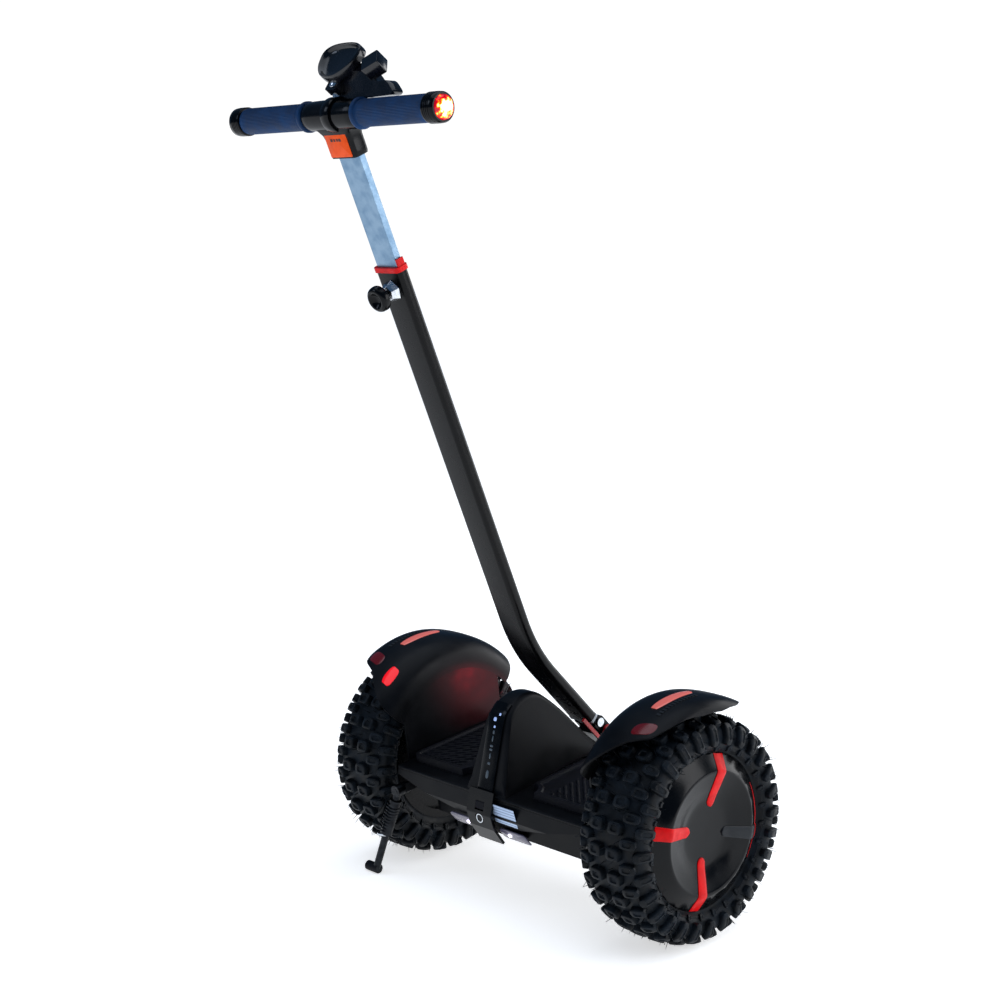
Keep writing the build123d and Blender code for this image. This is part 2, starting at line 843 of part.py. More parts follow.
def lens_pair(inner_x, outer_x, rear_angle, front_angle):
    """Low curved lenses on the crowns of both fenders."""
    with BuildPart() as lenses:
        for side, hand in SIDES:
            with BuildSketch(sweep_plane(rear_angle)):
                with Locations((side * (inner_x + outer_x) / 2, fender_crown_radius + lens_wall / 2)):
                    Rectangle(outer_x - inner_x, lens_wall)
            revolve(axis=level_axis, revolution_arc=rear_angle - front_angle)
    return lenses


save(lens_pair(lens_inner_x, lens_outer_x, lens_rear_angle, lens_front_angle), "fender_lenses")
save(lens_pair(tail_inner_x, tail_outer_x, tail_rear_angle, tail_front_angle), "tail_lenses")

# ---------------------------------------------------------------- kickstand
with BuildPart() as kickstand_bracket:
    with BuildSketch(level.offset(stand_pivot_z - bracket_wall / 2)):
        with Locations((-frame_half_length - bracket_wall / 2, (stand_lug_rear + bracket_front) / 2)):
            Rectangle(bracket_wall, bracket_front - stand_lug_rear)
    extrude(amount=2 * bracket_wall)
    with BuildSketch(cross_plane(stand_lug_rear + stand_lug_wall)):
        with Locations((stand_pivot_x, stand_pivot_z)):
            Circle(stand_eye_radius)
    extrude(amount=stand_lug_wall)
    with BuildSketch(cross_plane(stand_lug_rear)):
        with Locations((stand_pivot_x, stand_pivot_z)):
            Circle(stand_pin_radius)
    extrude(amount=stand_lug_rear - stand_eye_rear + stand_eye_gap)
save(kickstand_bracket, "kickstand_bracket")

with BuildPart() as bracket_bolts:
    for row in (0, 1):
        bolt_y = bracket_front - bracket_bolt_pitch / 2 - row * bracket_bolt_pitch
        with BuildSketch(side_plane(-frame_half_length - bracket_wall)):
            with Locations((bolt_y, stand_pivot_z + bracket_wall / 2)):
                Circle(screw_head_radius)
        extrude(amount=-screw_head_height)
save(bracket_bolts, "bracket_bolts")

eye_middle = (stand_lug_rear - stand_eye_gap + stand_eye_rear) / 2
stand_head = level.from_local_coords((stand_pivot_x, eye_middle, stand_pivot_z))
stand_knee = Vector(stand_foot_x, stand_foot_y * cos(pitch) + wheel_radius * sin(pitch) * cos(pitch),
                    stand_foot_radius)
stand_run = stand_knee - stand_head
with BuildPart() as kickstand_leg:
    with BuildSketch(cross_plane(stand_lug_rear - stand_eye_gap)):
        with Locations((stand_pivot_x, stand_pivot_z)):
            Circle(stand_eye_radius)
    extrude(amount=stand_lug_rear - stand_eye_gap - stand_eye_rear)
    with BuildSketch(Plane(origin=stand_head, z_dir=stand_run)):
        Circle(stand_rod_radius)
    extrude(amount=stand_run.length)
    with BuildSketch(Plane(origin=stand_head + stand_run * stand_sleeve_start, z_dir=stand_run)):
        Circle(stand_sleeve_radius)
    extrude(amount=stand_run.length * (stand_sleeve_end - stand_sleeve_start))
    with BuildSketch(Plane(origin=stand_knee + Vector(stand_rod_radius, 0, 0), z_dir=(-1, 0, 0))):
        Circle(stand_rod_radius)
    extrude(amount=stand_foot_length - stand_rod_radius)
    with BuildSketch(cross_plane(stand_lug_rear + stand_lug_wall)):
        with Locations((stand_pivot_x, stand_pivot_z)):
            Circle(stand_pin_radius + stand_pin_gap)
    extrude(amount=2 * stand_lug_wall - stand_eye_rear, mode=Mode.SUBTRACT)
save(kickstand_leg, "kickstand_leg")

with BuildPart() as kickstand_foot:
    with BuildSketch(Plane(origin=stand_knee + Vector(stand_rod_radius, 0, 0), z_dir=(-1, 0, 0))):
        Circle(stand_foot_radius)
    extrude(amount=stand_foot_length)
    add(kickstand_leg.part, mode=Mode.SUBTRACT)
save(kickstand_foot, "kickstand_foot")

with BuildPart() as shell_screws:
    with BuildSketch(level.offset(belly_bottom)):
        with GridLocations(screw_pitch_x, screw_pitch_y, 2, 2):
            Circle(screw_head_radius)
    extrude(amount=-screw_head_height)
save(shell_screws, "shell_screws")

# ---------------------------------------------------------------- steering
with BuildPart() as steering_shaft:
    with BuildSketch(cross_plane(steer_shaft_front)):
        with Locations((0, steer_height)):
            Circle(steer_shaft_radius)
    extrude(amount=steer_shaft_front - steer_shaft_rear)
save(steering_shaft, "steering_shaft")

ear_inner = tongue_half + ear_gap
ear_outer = ear_inner + ear_wall
base_depth = base_front_n - base_rear_n
steer_clamp_front = steer_shaft_front - bolt_head_height
clamp_reach = level.to_local_coords(foot_end)
base_bottom_t = (clamp_reach.Z - steer_height) / cos(radians(foot_lean - chassis_pitch))
with BuildPart() as steering_base:
    with BuildSketch(foot_plane(-ear_outer)):
        with Locations(((base_top_t + base_bottom_t) / 2, (base_front_n + base_rear_n) / 2)):
            Rectangle(base_bottom_t - base_top_t, base_depth)
        with Locations((fold_t, fold_n)):
            Circle(ear_radius)
        with Locations(((fold_t + base_top_t) / 2, fold_n)):
            Rectangle(base_top_t - fold_t, 2 * ear_radius)
    extrude(amount=2 * ear_outer)
    with BuildSketch(foot_plane(-ear_inner)):
        with Locations((fold_t, fold_n)):
            Circle(knuckle_radius + 2 * ear_wall)
    extrude(amount=2 * ear_inner, mode=Mode.SUBTRACT)
    with BuildSketch(cross_plane(steer_clamp_front)):
        with Locations((0, steer_height)):
            Circle(steer_shaft_radius + steer_clamp_wall)
    extrude(amount=steer_clamp_front - steer_clamp_rear)
    with BuildSketch(cross_plane(steer_shaft_front)):
        with Locations((0, steer_height)):
            Circle(steer_shaft_radius)
    extrude(amount=steer_shaft_front - steer_shaft_rear, mode=Mode.SUBTRACT)
    with BuildSketch(foot_plane(-ear_outer)):
        with Locations((fold_t, fold_n)):
            Circle(fold_pin_radius)
    extrude(amount=2 * ear_outer, mode=Mode.SUBTRACT)
    with BuildSketch(foot_plane(ear_outer)):
        with Locations((latch_t, latch_n)):
            Circle(latch_pin_radius)
    extrude(amount=latch_start + latch_wall - ear_outer)
save(steering_base, "steering_base")

with BuildPart() as fold_pin:
    with BuildSketch(foot_plane(-ear_outer)):
        with Locations((fold_t, fold_n)):
            Circle(fold_pin_radius)
    extrude(amount=2 * ear_outer)
    for side, hand in SIDES:
        with BuildSketch(foot_plane(side * ear_outer)):
            with Locations((fold_t, fold_n)):
                Circle(bolt_head_radius)
        extrude(amount=side * bolt_head_height)
save(fold_pin, "fold_pin")

with BuildPart() as fold_latch:
    with BuildSketch(foot_plane(latch_start)):
        with Locations((latch_t, latch_n)):
            Circle(latch_eye_radius)
        with Locations(((latch_top_t + latch_low_t) / 2, latch_rear_n + latch_bar / 2)):
            Rectangle(latch_low_t - latch_top_t, latch_bar)
        with Locations((latch_t, (latch_n + latch_rear_n) / 2)):
            Rectangle(2 * latch_bar, latch_n - latch_rear_n)
        with Locations((latch_t, latch_n)):
            Circle(latch_pin_radius + fold_gap, mode=Mode.SUBTRACT)
    extrude(amount=latch_wall)
save(fold_latch, "fold_latch")

# ---------------------------------------------------------------- pole
cavity_width = tube_width - 2 * tube_wall
cavity_depth = tube_depth - 2 * tube_wall
slot_width = inner_width + 2 * slide_gap
slot_depth = inner_depth + 2 * slide_gap
forward = Vector(0, cos(lean), sin(lean))


def knob_plane(n):
    """Plane across the clamp screw, n forward of the pole's middle, facing the rear."""
    return Plane(origin=knee_point + pole_up * knob_s + forward * n, x_dir=(1, 0, 0), z_dir=forward * -1)


with BuildPart() as pole_tube:
    with BuildLine():
        FilletPolyline(knee_point + pole_up * tube_top, knee_point, foot_end, radius=knee_radius)
    with BuildSketch(pole_plane(tube_top)):
        RectangleRounded(tube_width, tube_depth, tube_corner)
        RectangleRounded(cavity_width, cavity_depth, tube_corner - tube_wall, mode=Mode.SUBTRACT)
    sweep()
    with BuildSketch(knob_plane(-tube_depth / 2 + tube_wall)):
        Circle(knob_boss_radius)
    extrude(amount=tube_wall + knob_boss_height)
    with BuildSketch(knob_plane(0)):
        Circle(knob_screw_radius + fold_gap)
    extrude(amount=tube_depth + knob_boss_height, mode=Mode.SUBTRACT)
save(pole_tube, "pole_tube")

with BuildPart() as slide_liner:
    with BuildSketch(pole_plane(tube_top)):
        RectangleRounded(cavity_width, cavity_depth, tube_corner - tube_wall)
        Rectangle(slot_width, slot_depth, mode=Mode.SUBTRACT)
    extrude(amount=-liner_length)
    with BuildSketch(knob_plane(0)):
        Circle(knob_screw_radius + slide_gap)
    extrude(amount=tube_depth, mode=Mode.SUBTRACT)
save(slide_liner, "slide_liner")

with BuildPart() as tube_collar:
    collar_width = tube_width + 2 * collar_proud
    collar_depth = tube_depth + 2 * collar_proud
    with BuildSketch(pole_plane(tube_top + collar_lip)):
        RectangleRounded(collar_width, collar_depth, tube_corner + collar_proud)
    extrude(amount=-collar_lip - collar_overlap)
    with BuildSketch(pole_plane(tube_top)):
        RectangleRounded(tube_width, tube_depth, tube_corner)
    extrude(amount=-collar_overlap, mode=Mode.SUBTRACT)
    with BuildSketch(pole_plane(tube_top + collar_lip)):
        Rectangle(slot_width, slot_depth, mode=Mode.ADD)
    extrude(amount=-collar_lip, mode=Mode.SUBTRACT)
    with BuildSketch(pole_plane(tube_top + collar_lip)):
        with Locations((tube_width / 2 - collar_proud, 0)):
            Rectangle(2 * collar_proud, slot_depth)
    extrude(amount=collar_tab)
save(tube_collar, "tube_collar")

with BuildPart() as pole_foot:
    with BuildSketch(Plane(origin=foot_end, x_dir=(1, 0, 0), z_dir=foot_down)):
        RectangleRounded(cavity_width - 2 * plug_gap, cavity_depth - 2 * plug_gap, tube_corner - tube_wall)
    extrude(amount=-foot_plug)
    with BuildSketch(Plane(origin=foot_end, x_dir=(1, 0, 0), z_dir=foot_down)):
        RectangleRounded(tube_width, tube_depth, tube_corner)
    extrude(amount=foot_shoulder)
    with BuildSketch(foot_plane(-tongue_half)):
        with Locations((fold_t, fold_n)):
            Circle(knuckle_radius)
        with Locations((fold_t / 2, fold_n / 2)):
            Rectangle(fold_t, 2 * knuckle_radius - fold_n)
    extrude(amount=2 * tongue_half)
    with BuildSketch(foot_plane(-tongue_half)):
        with Locations((fold_t, fold_n)):
            Circle(fold_pin_radius + fold_gap)
    extrude(amount=2 * tongue_half, mode=Mode.SUBTRACT)
save(pole_foot, "pole_foot")

knob_tip = -inner_depth / 2 - knob_tip_gap
knob_base = -tube_depth / 2 - knob_standoff
with BuildPart() as clamp_knob:
    with BuildSketch(knob_plane(knob_tip)):
        Circle(knob_screw_radius)
    extrude(amount=knob_tip - knob_base)
    with BuildSketch(knob_plane(knob_base)):
        Circle(knob_radius)
    extrude(amount=knob_height)
    fillet(clamp_knob.faces().sort_by(Axis(knee_point, forward * -1))[-1].edges(), radius=knob_edge)
save(clamp_knob, "clamp_knob")

# ---------------------------------------------------------------- telescoping top
with BuildPart() as inner_tube:
    with BuildSketch(pole_plane(inner_bottom)):
        RectangleRounded(inner_width, inner_depth, inner_corner)
        Rectangle(inner_width - 2 * inner_wall, inner_depth - 2 * inner_wall, mode=Mode.SUBTRACT)
    extrude(amount=inner_top - inner_bottom)
save(inner_tube, "inner_tube")

head = knee_point + pole_up * head_s - forward * bar_setback


def bar_plane(x):
    """Plane across the handlebar at x."""
    return Plane(origin=head + Vector(x, 0, 0), x_dir=(0, 1, 0), z_dir=(1, 0, 0))


with BuildPart() as tee_head:
    with BuildSketch(pole_plane(stem_bottom_s)):
        with Locations((0, -bar_setback / 2)):
            RectangleRounded(stem_width, stem_depth, tube_corner)
    extrude(amount=head_s - stem_bottom_s)
    with BuildSketch(bar_plane(-sleeve_half)):
        Circle(sleeve_radius)
    extrude(amount=2 * sleeve_half)
    with BuildSketch(bar_plane(-sleeve_half)):
        Circle(handlebar_radius)
    extrude(amount=2 * sleeve_half, mode=Mode.SUBTRACT)
    with BuildSketch(pole_plane(stem_bottom_s)):
        RectangleRounded(inner_width, inner_depth, inner_corner)
    extrude(amount=inner_top - stem_bottom_s, mode=Mode.SUBTRACT)
save(tee_head, "tee_head")

with BuildPart() as handlebar:
    with BuildSketch(bar_plane(-handlebar_half)):
        Circle(handlebar_radius)
        Circle(handlebar_radius - handlebar_wall, mode=Mode.SUBTRACT)
    extrude(amount=2 * handlebar_half)
save(handlebar, "handlebar")

with BuildPart() as grips:
    for side, hand in SIDES:
        for start, end, radius in ((grip_inner, grip_inner + grip_flange, grip_flange_radius),
                                   (grip_inner, grip_outer, grip_radius)):
            with BuildSketch(bar_plane(side * start)):
                Circle(radius)
                Circle(handlebar_radius, mode=Mode.SUBTRACT)
            extrude(amount=side * (end - start))
save(grips, "grips")

with BuildPart() as end_collars:
    for side, hand in SIDES:
        with BuildSketch(bar_plane(side * grip_outer)):
            Circle(end_collar_radius)
            Circle(handlebar_radius, mode=Mode.SUBTRACT)
        extrude(amount=side * (end_collar_outer - grip_outer))
        with BuildSketch(bar_plane(side * handlebar_half)):
            Circle(end_lens_radius)
        extrude(amount=side * (end_collar_outer - handlebar_half), mode=Mode.SUBTRACT)
save(end_collars, "end_collars")

with BuildPart() as end_lenses:
    for side, hand in SIDES:
        with BuildSketch(bar_plane(side * handlebar_half)):
            Circle(end_lens_radius)
        extrude(amount=side * (end_collar_outer - handlebar_half + end_lens_depth))
save(end_lenses, "end_lenses")

# ---------------------------------------------------------------- phone holder
ball = head + Vector(holder_x, 0, ball_rise)
plate_turn = radians(plate_lean)
plate_up = Vector(0, sin(plate_turn), cos(plate_turn))
plate_face = Vector(0, -cos(plate_turn), sin(plate_turn))


def plate_plane(n):
    """Plane of the phone plate, n out from the ball's centre: local X is right, local Y is up the plate."""
    return Plane(origin=ball + plate_face * n, x_dir=(1, 0, 0), z_dir=plate_face)


with BuildPart() as phone_clamp:
    with BuildSketch(bar_plane(holder_x - holder_band / 2)):
        Circle(sleeve_radius + holder_band_wall)
        Circle(sleeve_radius, mode=Mode.SUBTRACT)
    extrude(amount=holder_band)
    split(bisect_by=Plane.XY.offset(head.Z), keep=Keep.TOP)
    with BuildSketch(Plane.XY.offset(head.Z + sleeve_radius + holder_band_wall / 2)):
        with Locations((ball.X, ball.Y)):
            Circle(stalk_radius)
    extrude(amount=ball_rise - sleeve_radius - holder_band_wall / 2)
    with Locations(ball):
        Sphere(ball_radius)
save(phone_clamp, "phone_clamp")

guide_width = jaw_tongue[0] + 2 * jaw_gap + 2 * guide_wall
guide_depth = jaw_tongue[1] + 2 * jaw_gap + guide_wall
tongue_face = plate_front - plate_wall - jaw_gap
with BuildPart() as phone_plate:
    with BuildSketch(plate_plane(plate_front - plate_wall)) as outline:
        with BuildLine():
            Polyline((-plate_half_low, 0), (plate_half_low, 0), (plate_half_top, plate_height),
                     (-plate_half_top, plate_height), close=True)
        make_face()
        fillet(outline.vertices(), radius=plate_half_low / 2)
    extrude(amount=plate_wall + plate_lip_height)
    with BuildSketch(plate_plane(plate_front)) as recess:
        add(outline.sketch_local)
        offset(amount=-plate_lip, mode=Mode.REPLACE)
        with Locations((plate_half_top, plate_height / 2)):
            Rectangle(2 * (plate_half_top - plate_half_low), plate_height)
    extrude(amount=plate_lip_height, mode=Mode.SUBTRACT)
    with BuildSketch(plate_plane(socket_start)):
        Rectangle(2 * socket_half, 2 * socket_half)
    extrude(amount=plate_front - plate_wall - socket_start)
    with BuildSketch(plate_plane(plate_front - plate_wall)):
        with Locations(((guide_start + guide_end) / 2, jaw_middle)):
            Rectangle(guide_end - guide_start, guide_width)
    extrude(amount=-guide_depth)
    with BuildSketch(plate_plane(plate_front - plate_wall)):
        with Locations(((guide_start + guide_end) / 2, jaw_middle)):
            Rectangle(guide_end - guide_start, jaw_tongue[0] + 2 * jaw_gap)
    extrude(amount=-jaw_tongue[1] - 2 * jaw_gap, mode=Mode.SUBTRACT)
    with Locations(ball):
        Sphere(ball_radius + ball_gap, mode=Mode.SUBTRACT)
save(phone_plate, "phone_plate")

with BuildPart() as phone_jaw:
    with BuildSketch(plate_plane(tongue_face - jaw_tongue[1])):
        with Locations((jaw_inner + jaw_wall - jaw_tongue_length, jaw_middle)):
            Rectangle(2 * jaw_tongue_length - 2 * jaw_wall, jaw_tongue[0])
    extrude(amount=jaw_tongue[1])
    with BuildSketch(plate_plane(tongue_face - jaw_tongue[1])):
        with Locations((jaw_inner + jaw_wall / 2, jaw_middle)):
            Rectangle(jaw_wall, jaw_height)
    extrude(amount=jaw_depth + jaw_tongue[1])
save(phone_jaw, "phone_jaw")
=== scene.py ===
# %% [markdown]
# A two-wheeled self-balancing board with a tall handle pole, parked on its kickstand.
# The working model, with its real sizes and joints, comes in first and is never changed.
# Everything after it is a surface or a finish worked out around that fixed frame.
# %% Load the working model
import json
from math import cos, radians, sin

import bmesh
import bpy
import numpy as np
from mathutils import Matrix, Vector


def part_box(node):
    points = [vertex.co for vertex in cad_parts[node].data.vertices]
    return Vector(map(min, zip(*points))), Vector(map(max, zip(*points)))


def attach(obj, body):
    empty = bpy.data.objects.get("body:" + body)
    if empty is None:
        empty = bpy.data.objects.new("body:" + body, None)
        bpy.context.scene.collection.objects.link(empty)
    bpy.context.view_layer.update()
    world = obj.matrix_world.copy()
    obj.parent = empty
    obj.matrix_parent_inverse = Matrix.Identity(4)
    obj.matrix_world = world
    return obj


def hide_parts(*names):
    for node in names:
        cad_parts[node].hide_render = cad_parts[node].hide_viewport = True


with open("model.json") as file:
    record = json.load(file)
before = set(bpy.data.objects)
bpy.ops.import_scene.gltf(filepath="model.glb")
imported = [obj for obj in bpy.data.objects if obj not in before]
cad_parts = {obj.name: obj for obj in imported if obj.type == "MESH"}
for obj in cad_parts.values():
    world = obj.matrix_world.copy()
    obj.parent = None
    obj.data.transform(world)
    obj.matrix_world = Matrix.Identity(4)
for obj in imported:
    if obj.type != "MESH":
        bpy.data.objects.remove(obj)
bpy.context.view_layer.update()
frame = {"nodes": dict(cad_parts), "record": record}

# %% [markdown]
# Colours are written as the hex codes a paint chart gives. Blender's sockets want linear
# light, so one function converts them. One more adds a node and wires it up.
# Patterns are sized in millimetres: a texture's scale counts features per metre.
# %% Colours and nodes
MM = 0.001


def linear(code):
    """A channel c becomes c / 12.92 when dark, and ((c + 0.055) / 1.055) to the power 2.4 otherwise."""
    c = np.array([int(code[i:i + 2], 16) for i in (1, 3, 5)]) / 255
    return (*np.where(c <= 0.04045, c / 12.92, ((c + 0.055) / 1.055) ** 2.4).tolist(), 1.0)


def add(tree, kind, inputs=None, **settings):
    """Adds one node: its settings, then inputs as plain values or as (node, output) pairs to link."""
    made = tree.nodes.new("ShaderNode" + kind)
    for name, value in settings.items():
        setattr(made, name, value)
    for name, value in (inputs or {}).items():
        if isinstance(value, tuple) and hasattr(value[0], "outputs"):
            tree.links.new(value[0].outputs[value[1]], made.inputs[name])
        else:
            made.inputs[name].default_value = value
    return made


def per_mm(size):
    """Texture scale that gives features this many millimetres across."""
    return 1 / (size * MM)


def finish(name, colour, rough, second=None, patch=30.0, grain=0.6, depth=0.02, stretch=(1, 1, 1), **sockets):
    """A surface whose colour drifts to a second one over patches, whose roughness drifts between two
    values, and whose fine grain stands up by depth millimetres. Stretch draws the grain out along an axis."""
    made = bpy.data.materials.new(name)
    made.use_nodes = True
    tree = made.node_tree
    tree.nodes.clear()
    where = add(tree, "TexCoord")
    drift = add(tree, "TexNoise", {"Vector": (where, "Object"), "Scale": per_mm(patch), "Detail": 4.0})
    spread = add(tree, "MapRange", {"Value": (drift, 0), "From Min": 0.35, "From Max": 0.65,
                                    "To Min": rough[0], "To Max": rough[1]})
    turned = add(tree, "Mapping", {"Vector": (where, "Object"), "Scale": stretch})
    speck = add(tree, "TexNoise", {"Vector": (turned, 0), "Scale": per_mm(grain), "Detail": 2.0})
    bump = add(tree, "Bump", {"Height": (speck, 0), "Distance": depth * MM, "Strength": 1.0})
    tint = add(tree, "Mix", data_type="RGBA")
    ramp = add(tree, "MapRange", {"Value": (drift, 0), "From Min": 0.4, "From Max": 0.7})
    tree.links.new(ramp.outputs[0], tint.inputs[0])
    tint.inputs[6].default_value = linear(colour)
    tint.inputs[7].default_value = linear(second or colour)
    shader = add(tree, "BsdfPrincipled",
                 {"Base Color": (tint, 2), "Roughness": (spread, 0), "Normal": (bump, 0)})
    for socket, value in sockets.items():
        shader.inputs[socket.replace("_", " ")].default_value = value
    add(tree, "OutputMaterial", {"Surface": (shader, 0)})
    return made


def glowing(name, colour, light, strength, rough=0.15):
    """A moulded lens lit from behind, drawn as a glossy coloured skin that gives off light itself."""
    made = finish(name, colour, (rough, rough + 0.05), patch=8.0, grain=1.5, depth=0.02)
    shader = next(n for n in made.node_tree.nodes if n.type == "BSDF_PRINCIPLED")
    shader.inputs["Emission Color"].default_value = linear(light)
    shader.inputs["Emission Strength"].default_value = strength
    return made


# %% [markdown]
# The studio: a white sweep, soft daylight from above, a light at the front right, a broad one ahead
# of the machine for its far edges and a weak one at the rear left. The surround is dim.
# A small red lamp lights the left fender's upright wall.
# %% Camera, floor and lights
scene = bpy.context.scene
scene.view_settings.view_transform = "Standard"
camera = bpy.data.objects.new("camera", bpy.data.cameras.new("camera"))
scene.collection.objects.link(camera)
camera.location = (1.5845, -1.5909, 0.8489)
look_at = Vector((0.0919, -0.1735, 0.5412))
camera.rotation_mode = "QUATERNION"
camera.rotation_quaternion = (look_at - camera.location).to_track_quat("-Z", "Y")
camera.data.lens = 64.28
camera.data.sensor_width = 36.0
scene.camera = camera

world = bpy.data.worlds.new("studio")
world.use_nodes = True
scene.world = world
tree = world.node_tree
tree.nodes.clear()
path = add(tree, "LightPath")
dim = add(tree, "Background", {"Color": linear("#cfdff2"), "Strength": 0.24})
dark = add(tree, "Background", {"Color": linear("#7fb2ea"), "Strength": 0.2})
bright = add(tree, "Background", {"Color": (1.0, 1.0, 1.0, 1.0), "Strength": 1.05})
mixed = add(tree, "MixShader", {0: (path, "Is Glossy Ray"), 1: (dim, 0), 2: (dark, 0)})
seen = add(tree, "MixShader", {0: (path, "Is Camera Ray"), 1: (mixed, 0), 2: (bright, 0)})
add(tree, "OutputWorld", {"Surface": (seen, 0)})


def light(name, kind, energy, place, aim, colour="#ffffff", **settings):
    """A lamp at place, turned to face aim."""
    lamp = bpy.data.objects.new(name, bpy.data.lights.new(name, kind))
    lamp.data.energy = energy
    lamp.data.color = linear(colour)[:3]
    for setting, value in settings.items():
        setattr(lamp.data, setting, value)
    lamp.location = place
    lamp.rotation_mode = "QUATERNION"
    lamp.rotation_quaternion = (Vector(aim) - Vector(place)).to_track_quat("-Z", "Y")
    scene.collection.objects.link(lamp)
    return lamp


light("sky", "SUN", 1.25, (0, 0, 5), (0.15, 0.1, 0), "#eef5ff", angle=radians(70))
light("key", "AREA", 30, (2.6, 1.2, 1.5), (0, -0.1, 0.5), "#fdfdff", size=1.2, shape="RECTANGLE", size_y=1.8)
light("edge", "AREA", 60, (0.9, 3.2, 1.3), (0.1, -0.1, 0.6), "#ffffff", size=2.6, shape="RECTANGLE",
      size_y=2.2)
light("rear", "AREA", 9, (-1.6, -2.4, 2.2), (0, -0.1, 0.4), "#dbe9ff", size=1.0)
light("red_glow", "SPOT", 0.75, (-0.02, 0.15, 0.2), (-0.168, 0.07, 0.23), "#ff1038", shadow_soft_size=0.01,
      spot_size=radians(56), spot_blend=0.8)

floor_material = finish("matt_white_sweep", "#f4f5f6", (0.8, 0.9), patch=400.0, grain=4.0, depth=0.0,
                        Emission_Color=(1.0, 1.0, 1.0, 1.0), Emission_Strength=0.62, Specular_IOR_Level=0.1)
bpy.ops.mesh.primitive_plane_add(size=40)
floor = bpy.context.object
floor.name = "floor"
floor.data.materials.append(floor_material)

# %% [markdown]
# Local frames carry shapes to their places: the board, which stands nose up by eight degrees on its
# axle, the wheels, the leaning pole, the handlebar and the phone holder's plate. Each turns local
# points into the machine's own millimetres.
# %% Local frames
AXLE = np.array((0.0, 0.0, 141.0))
WHEEL_X = 228.8
X, Y, Z = np.eye(3)


def unit(y, z):
    """Direction in the fore-and-aft plane."""
    return np.array((0.0, y, z))


def frame_at(origin, x, y, z):
    """Local point (a, b, c) goes to origin + a x + b y + c z."""
    basis = np.stack([x, y, z])
    return lambda points: np.asarray(origin) + np.asarray(points, float) @ basis


pitch, lean, foot_lean, plate_lean = (radians(a) for a in (8.0, 24.0, 45.5, 35.0))
board = frame_at(AXLE, X, unit(cos(pitch), sin(pitch)), unit(-sin(pitch), cos(pitch)))
pole_up, pole_front = unit(-sin(lean), cos(lean)), unit(cos(lean), sin(lean))
foot_down, foot_front = unit(sin(foot_lean), -cos(foot_lean)), unit(cos(foot_lean), sin(foot_lean))
knee = np.array((0.0, -43.3, 325.5))
head = knee + 715.4 * pole_up - 3.4 * pole_front
ball = head + np.array((4.0, 0.0, 31.0))
pole = frame_at(knee, X, pole_front, pole_up)
bar = frame_at(head, X, Y, Z)
plate = frame_at(ball, X, unit(sin(plate_lean), cos(plate_lean)), unit(-cos(plate_lean), sin(plate_lean)))
print("head of the pole, mm", head.round(1))


def stack(*parts):
    """Broadcasts parts together and stacks them as the last axis of a point array."""
    return np.stack(np.broadcast_arrays(*[np.asarray(p, float) for p in parts]), -1)


def on_wheel(side, out, radius, angle):
    """Point on a wheel: out from its middle, radius from the axle, angle from forward over the top."""
    return AXLE + stack(side * (WHEEL_X + np.asarray(out)), radius * np.cos(angle), radius * np.sin(angle))


def over_wheel(side, x, radius, angle):
    """Point over a wheel in the board's frame, angle in degrees from the rear over the top."""
    a = np.radians(angle)
    return board(stack(side * np.asarray(x), -radius * np.cos(a), radius * np.sin(a)))


# %% [markdown]
# Every new surface is a grid of points. These helpers turn grids into meshes: faces join each
# point to its neighbours, ends close onto their middles, doubled points merge and faces are turned
# outwards.
# %% Grids into meshes
def smooth(points, count):
    """Curve through points with even spacing: a Catmull-Rom blend of each four neighbours."""
    p = np.asarray(points, float)
    p = np.concatenate([2 * p[:1] - p[1:2], p, 2 * p[-1:] - p[-2:-1]])
    t = np.linspace(0, len(p) - 3 - 1e-9, 12 * len(p))
    k = t.astype(int)
    f = (t - k)[:, None]
    a, b, c, d = p[k], p[k + 1], p[k + 2], p[k + 3]
    curve = 0.5 * (2 * b + (c - a) * f + (2 * a - 5 * b + 4 * c - d) * f ** 2
                   + (3 * b - a - 3 * c + d) * f ** 3)
    along = np.concatenate([[0], np.cumsum(np.linalg.norm(np.diff(curve, axis=0), axis=1))])
    even = np.linspace(0, along[-1], count)
    return np.stack([np.interp(even, along, curve[:, i]) for i in range(p.shape[1])], 1)


def rounded(width, depth, radius, corner=5):
    """Outline of a rounded rectangle: four quarter circles, one in each corner."""
    turn = np.linspace(0, np.pi / 2, corner)
    ring = [np.stack([sx * (width / 2 - radius), sy * (depth / 2 - radius)])
            + radius * np.stack([np.cos(turn + q), np.sin(turn + q)], 1)
            for q, sx, sy in ((0, 1, 1), (np.pi / 2, -1, 1), (np.pi, -1, -1), (3 * np.pi / 2, 1, -1))]
    return np.concatenate(ring)


def closed_ends(rings):
    """Adds the middle point of the first and last ring, which closes both ends."""
    first, last = (np.broadcast_to(r.mean(0), r.shape)[None] for r in (rings[0], rings[-1]))
    return np.concatenate([first, rings, last])


def thick(grid, wall):
    """A sheet with a wall: the sheet, a copy moved back along its normals, and strips round the edges."""
    normal = np.cross(np.gradient(grid, axis=0), np.gradient(grid, axis=1))
    normal /= np.maximum(np.linalg.norm(normal, axis=-1, keepdims=True), 1e-9)
    back = grid - wall * normal
    return [(np.concatenate([grid, back[::-1]]), True, False),
            (np.stack([grid[:, 0], back[:, 0]]), False, False),
            (np.stack([grid[:, -1], back[:, -1]]), False, False)]


def quads(rows, columns, wrap_rows, wrap_columns):
    """Faces of a grid, each joining a point to the next along its row and its column."""
    r, c = np.meshgrid(np.arange(rows - (not wrap_rows)), np.arange(columns - (not wrap_columns)),
                       indexing="ij")
    r2, c2 = (r + 1) % rows, (c + 1) % columns
    return np.stack([r * columns + c, r2 * columns + c, r2 * columns + c2, r * columns + c2], -1).reshape(-1,
                                                                                                          4)


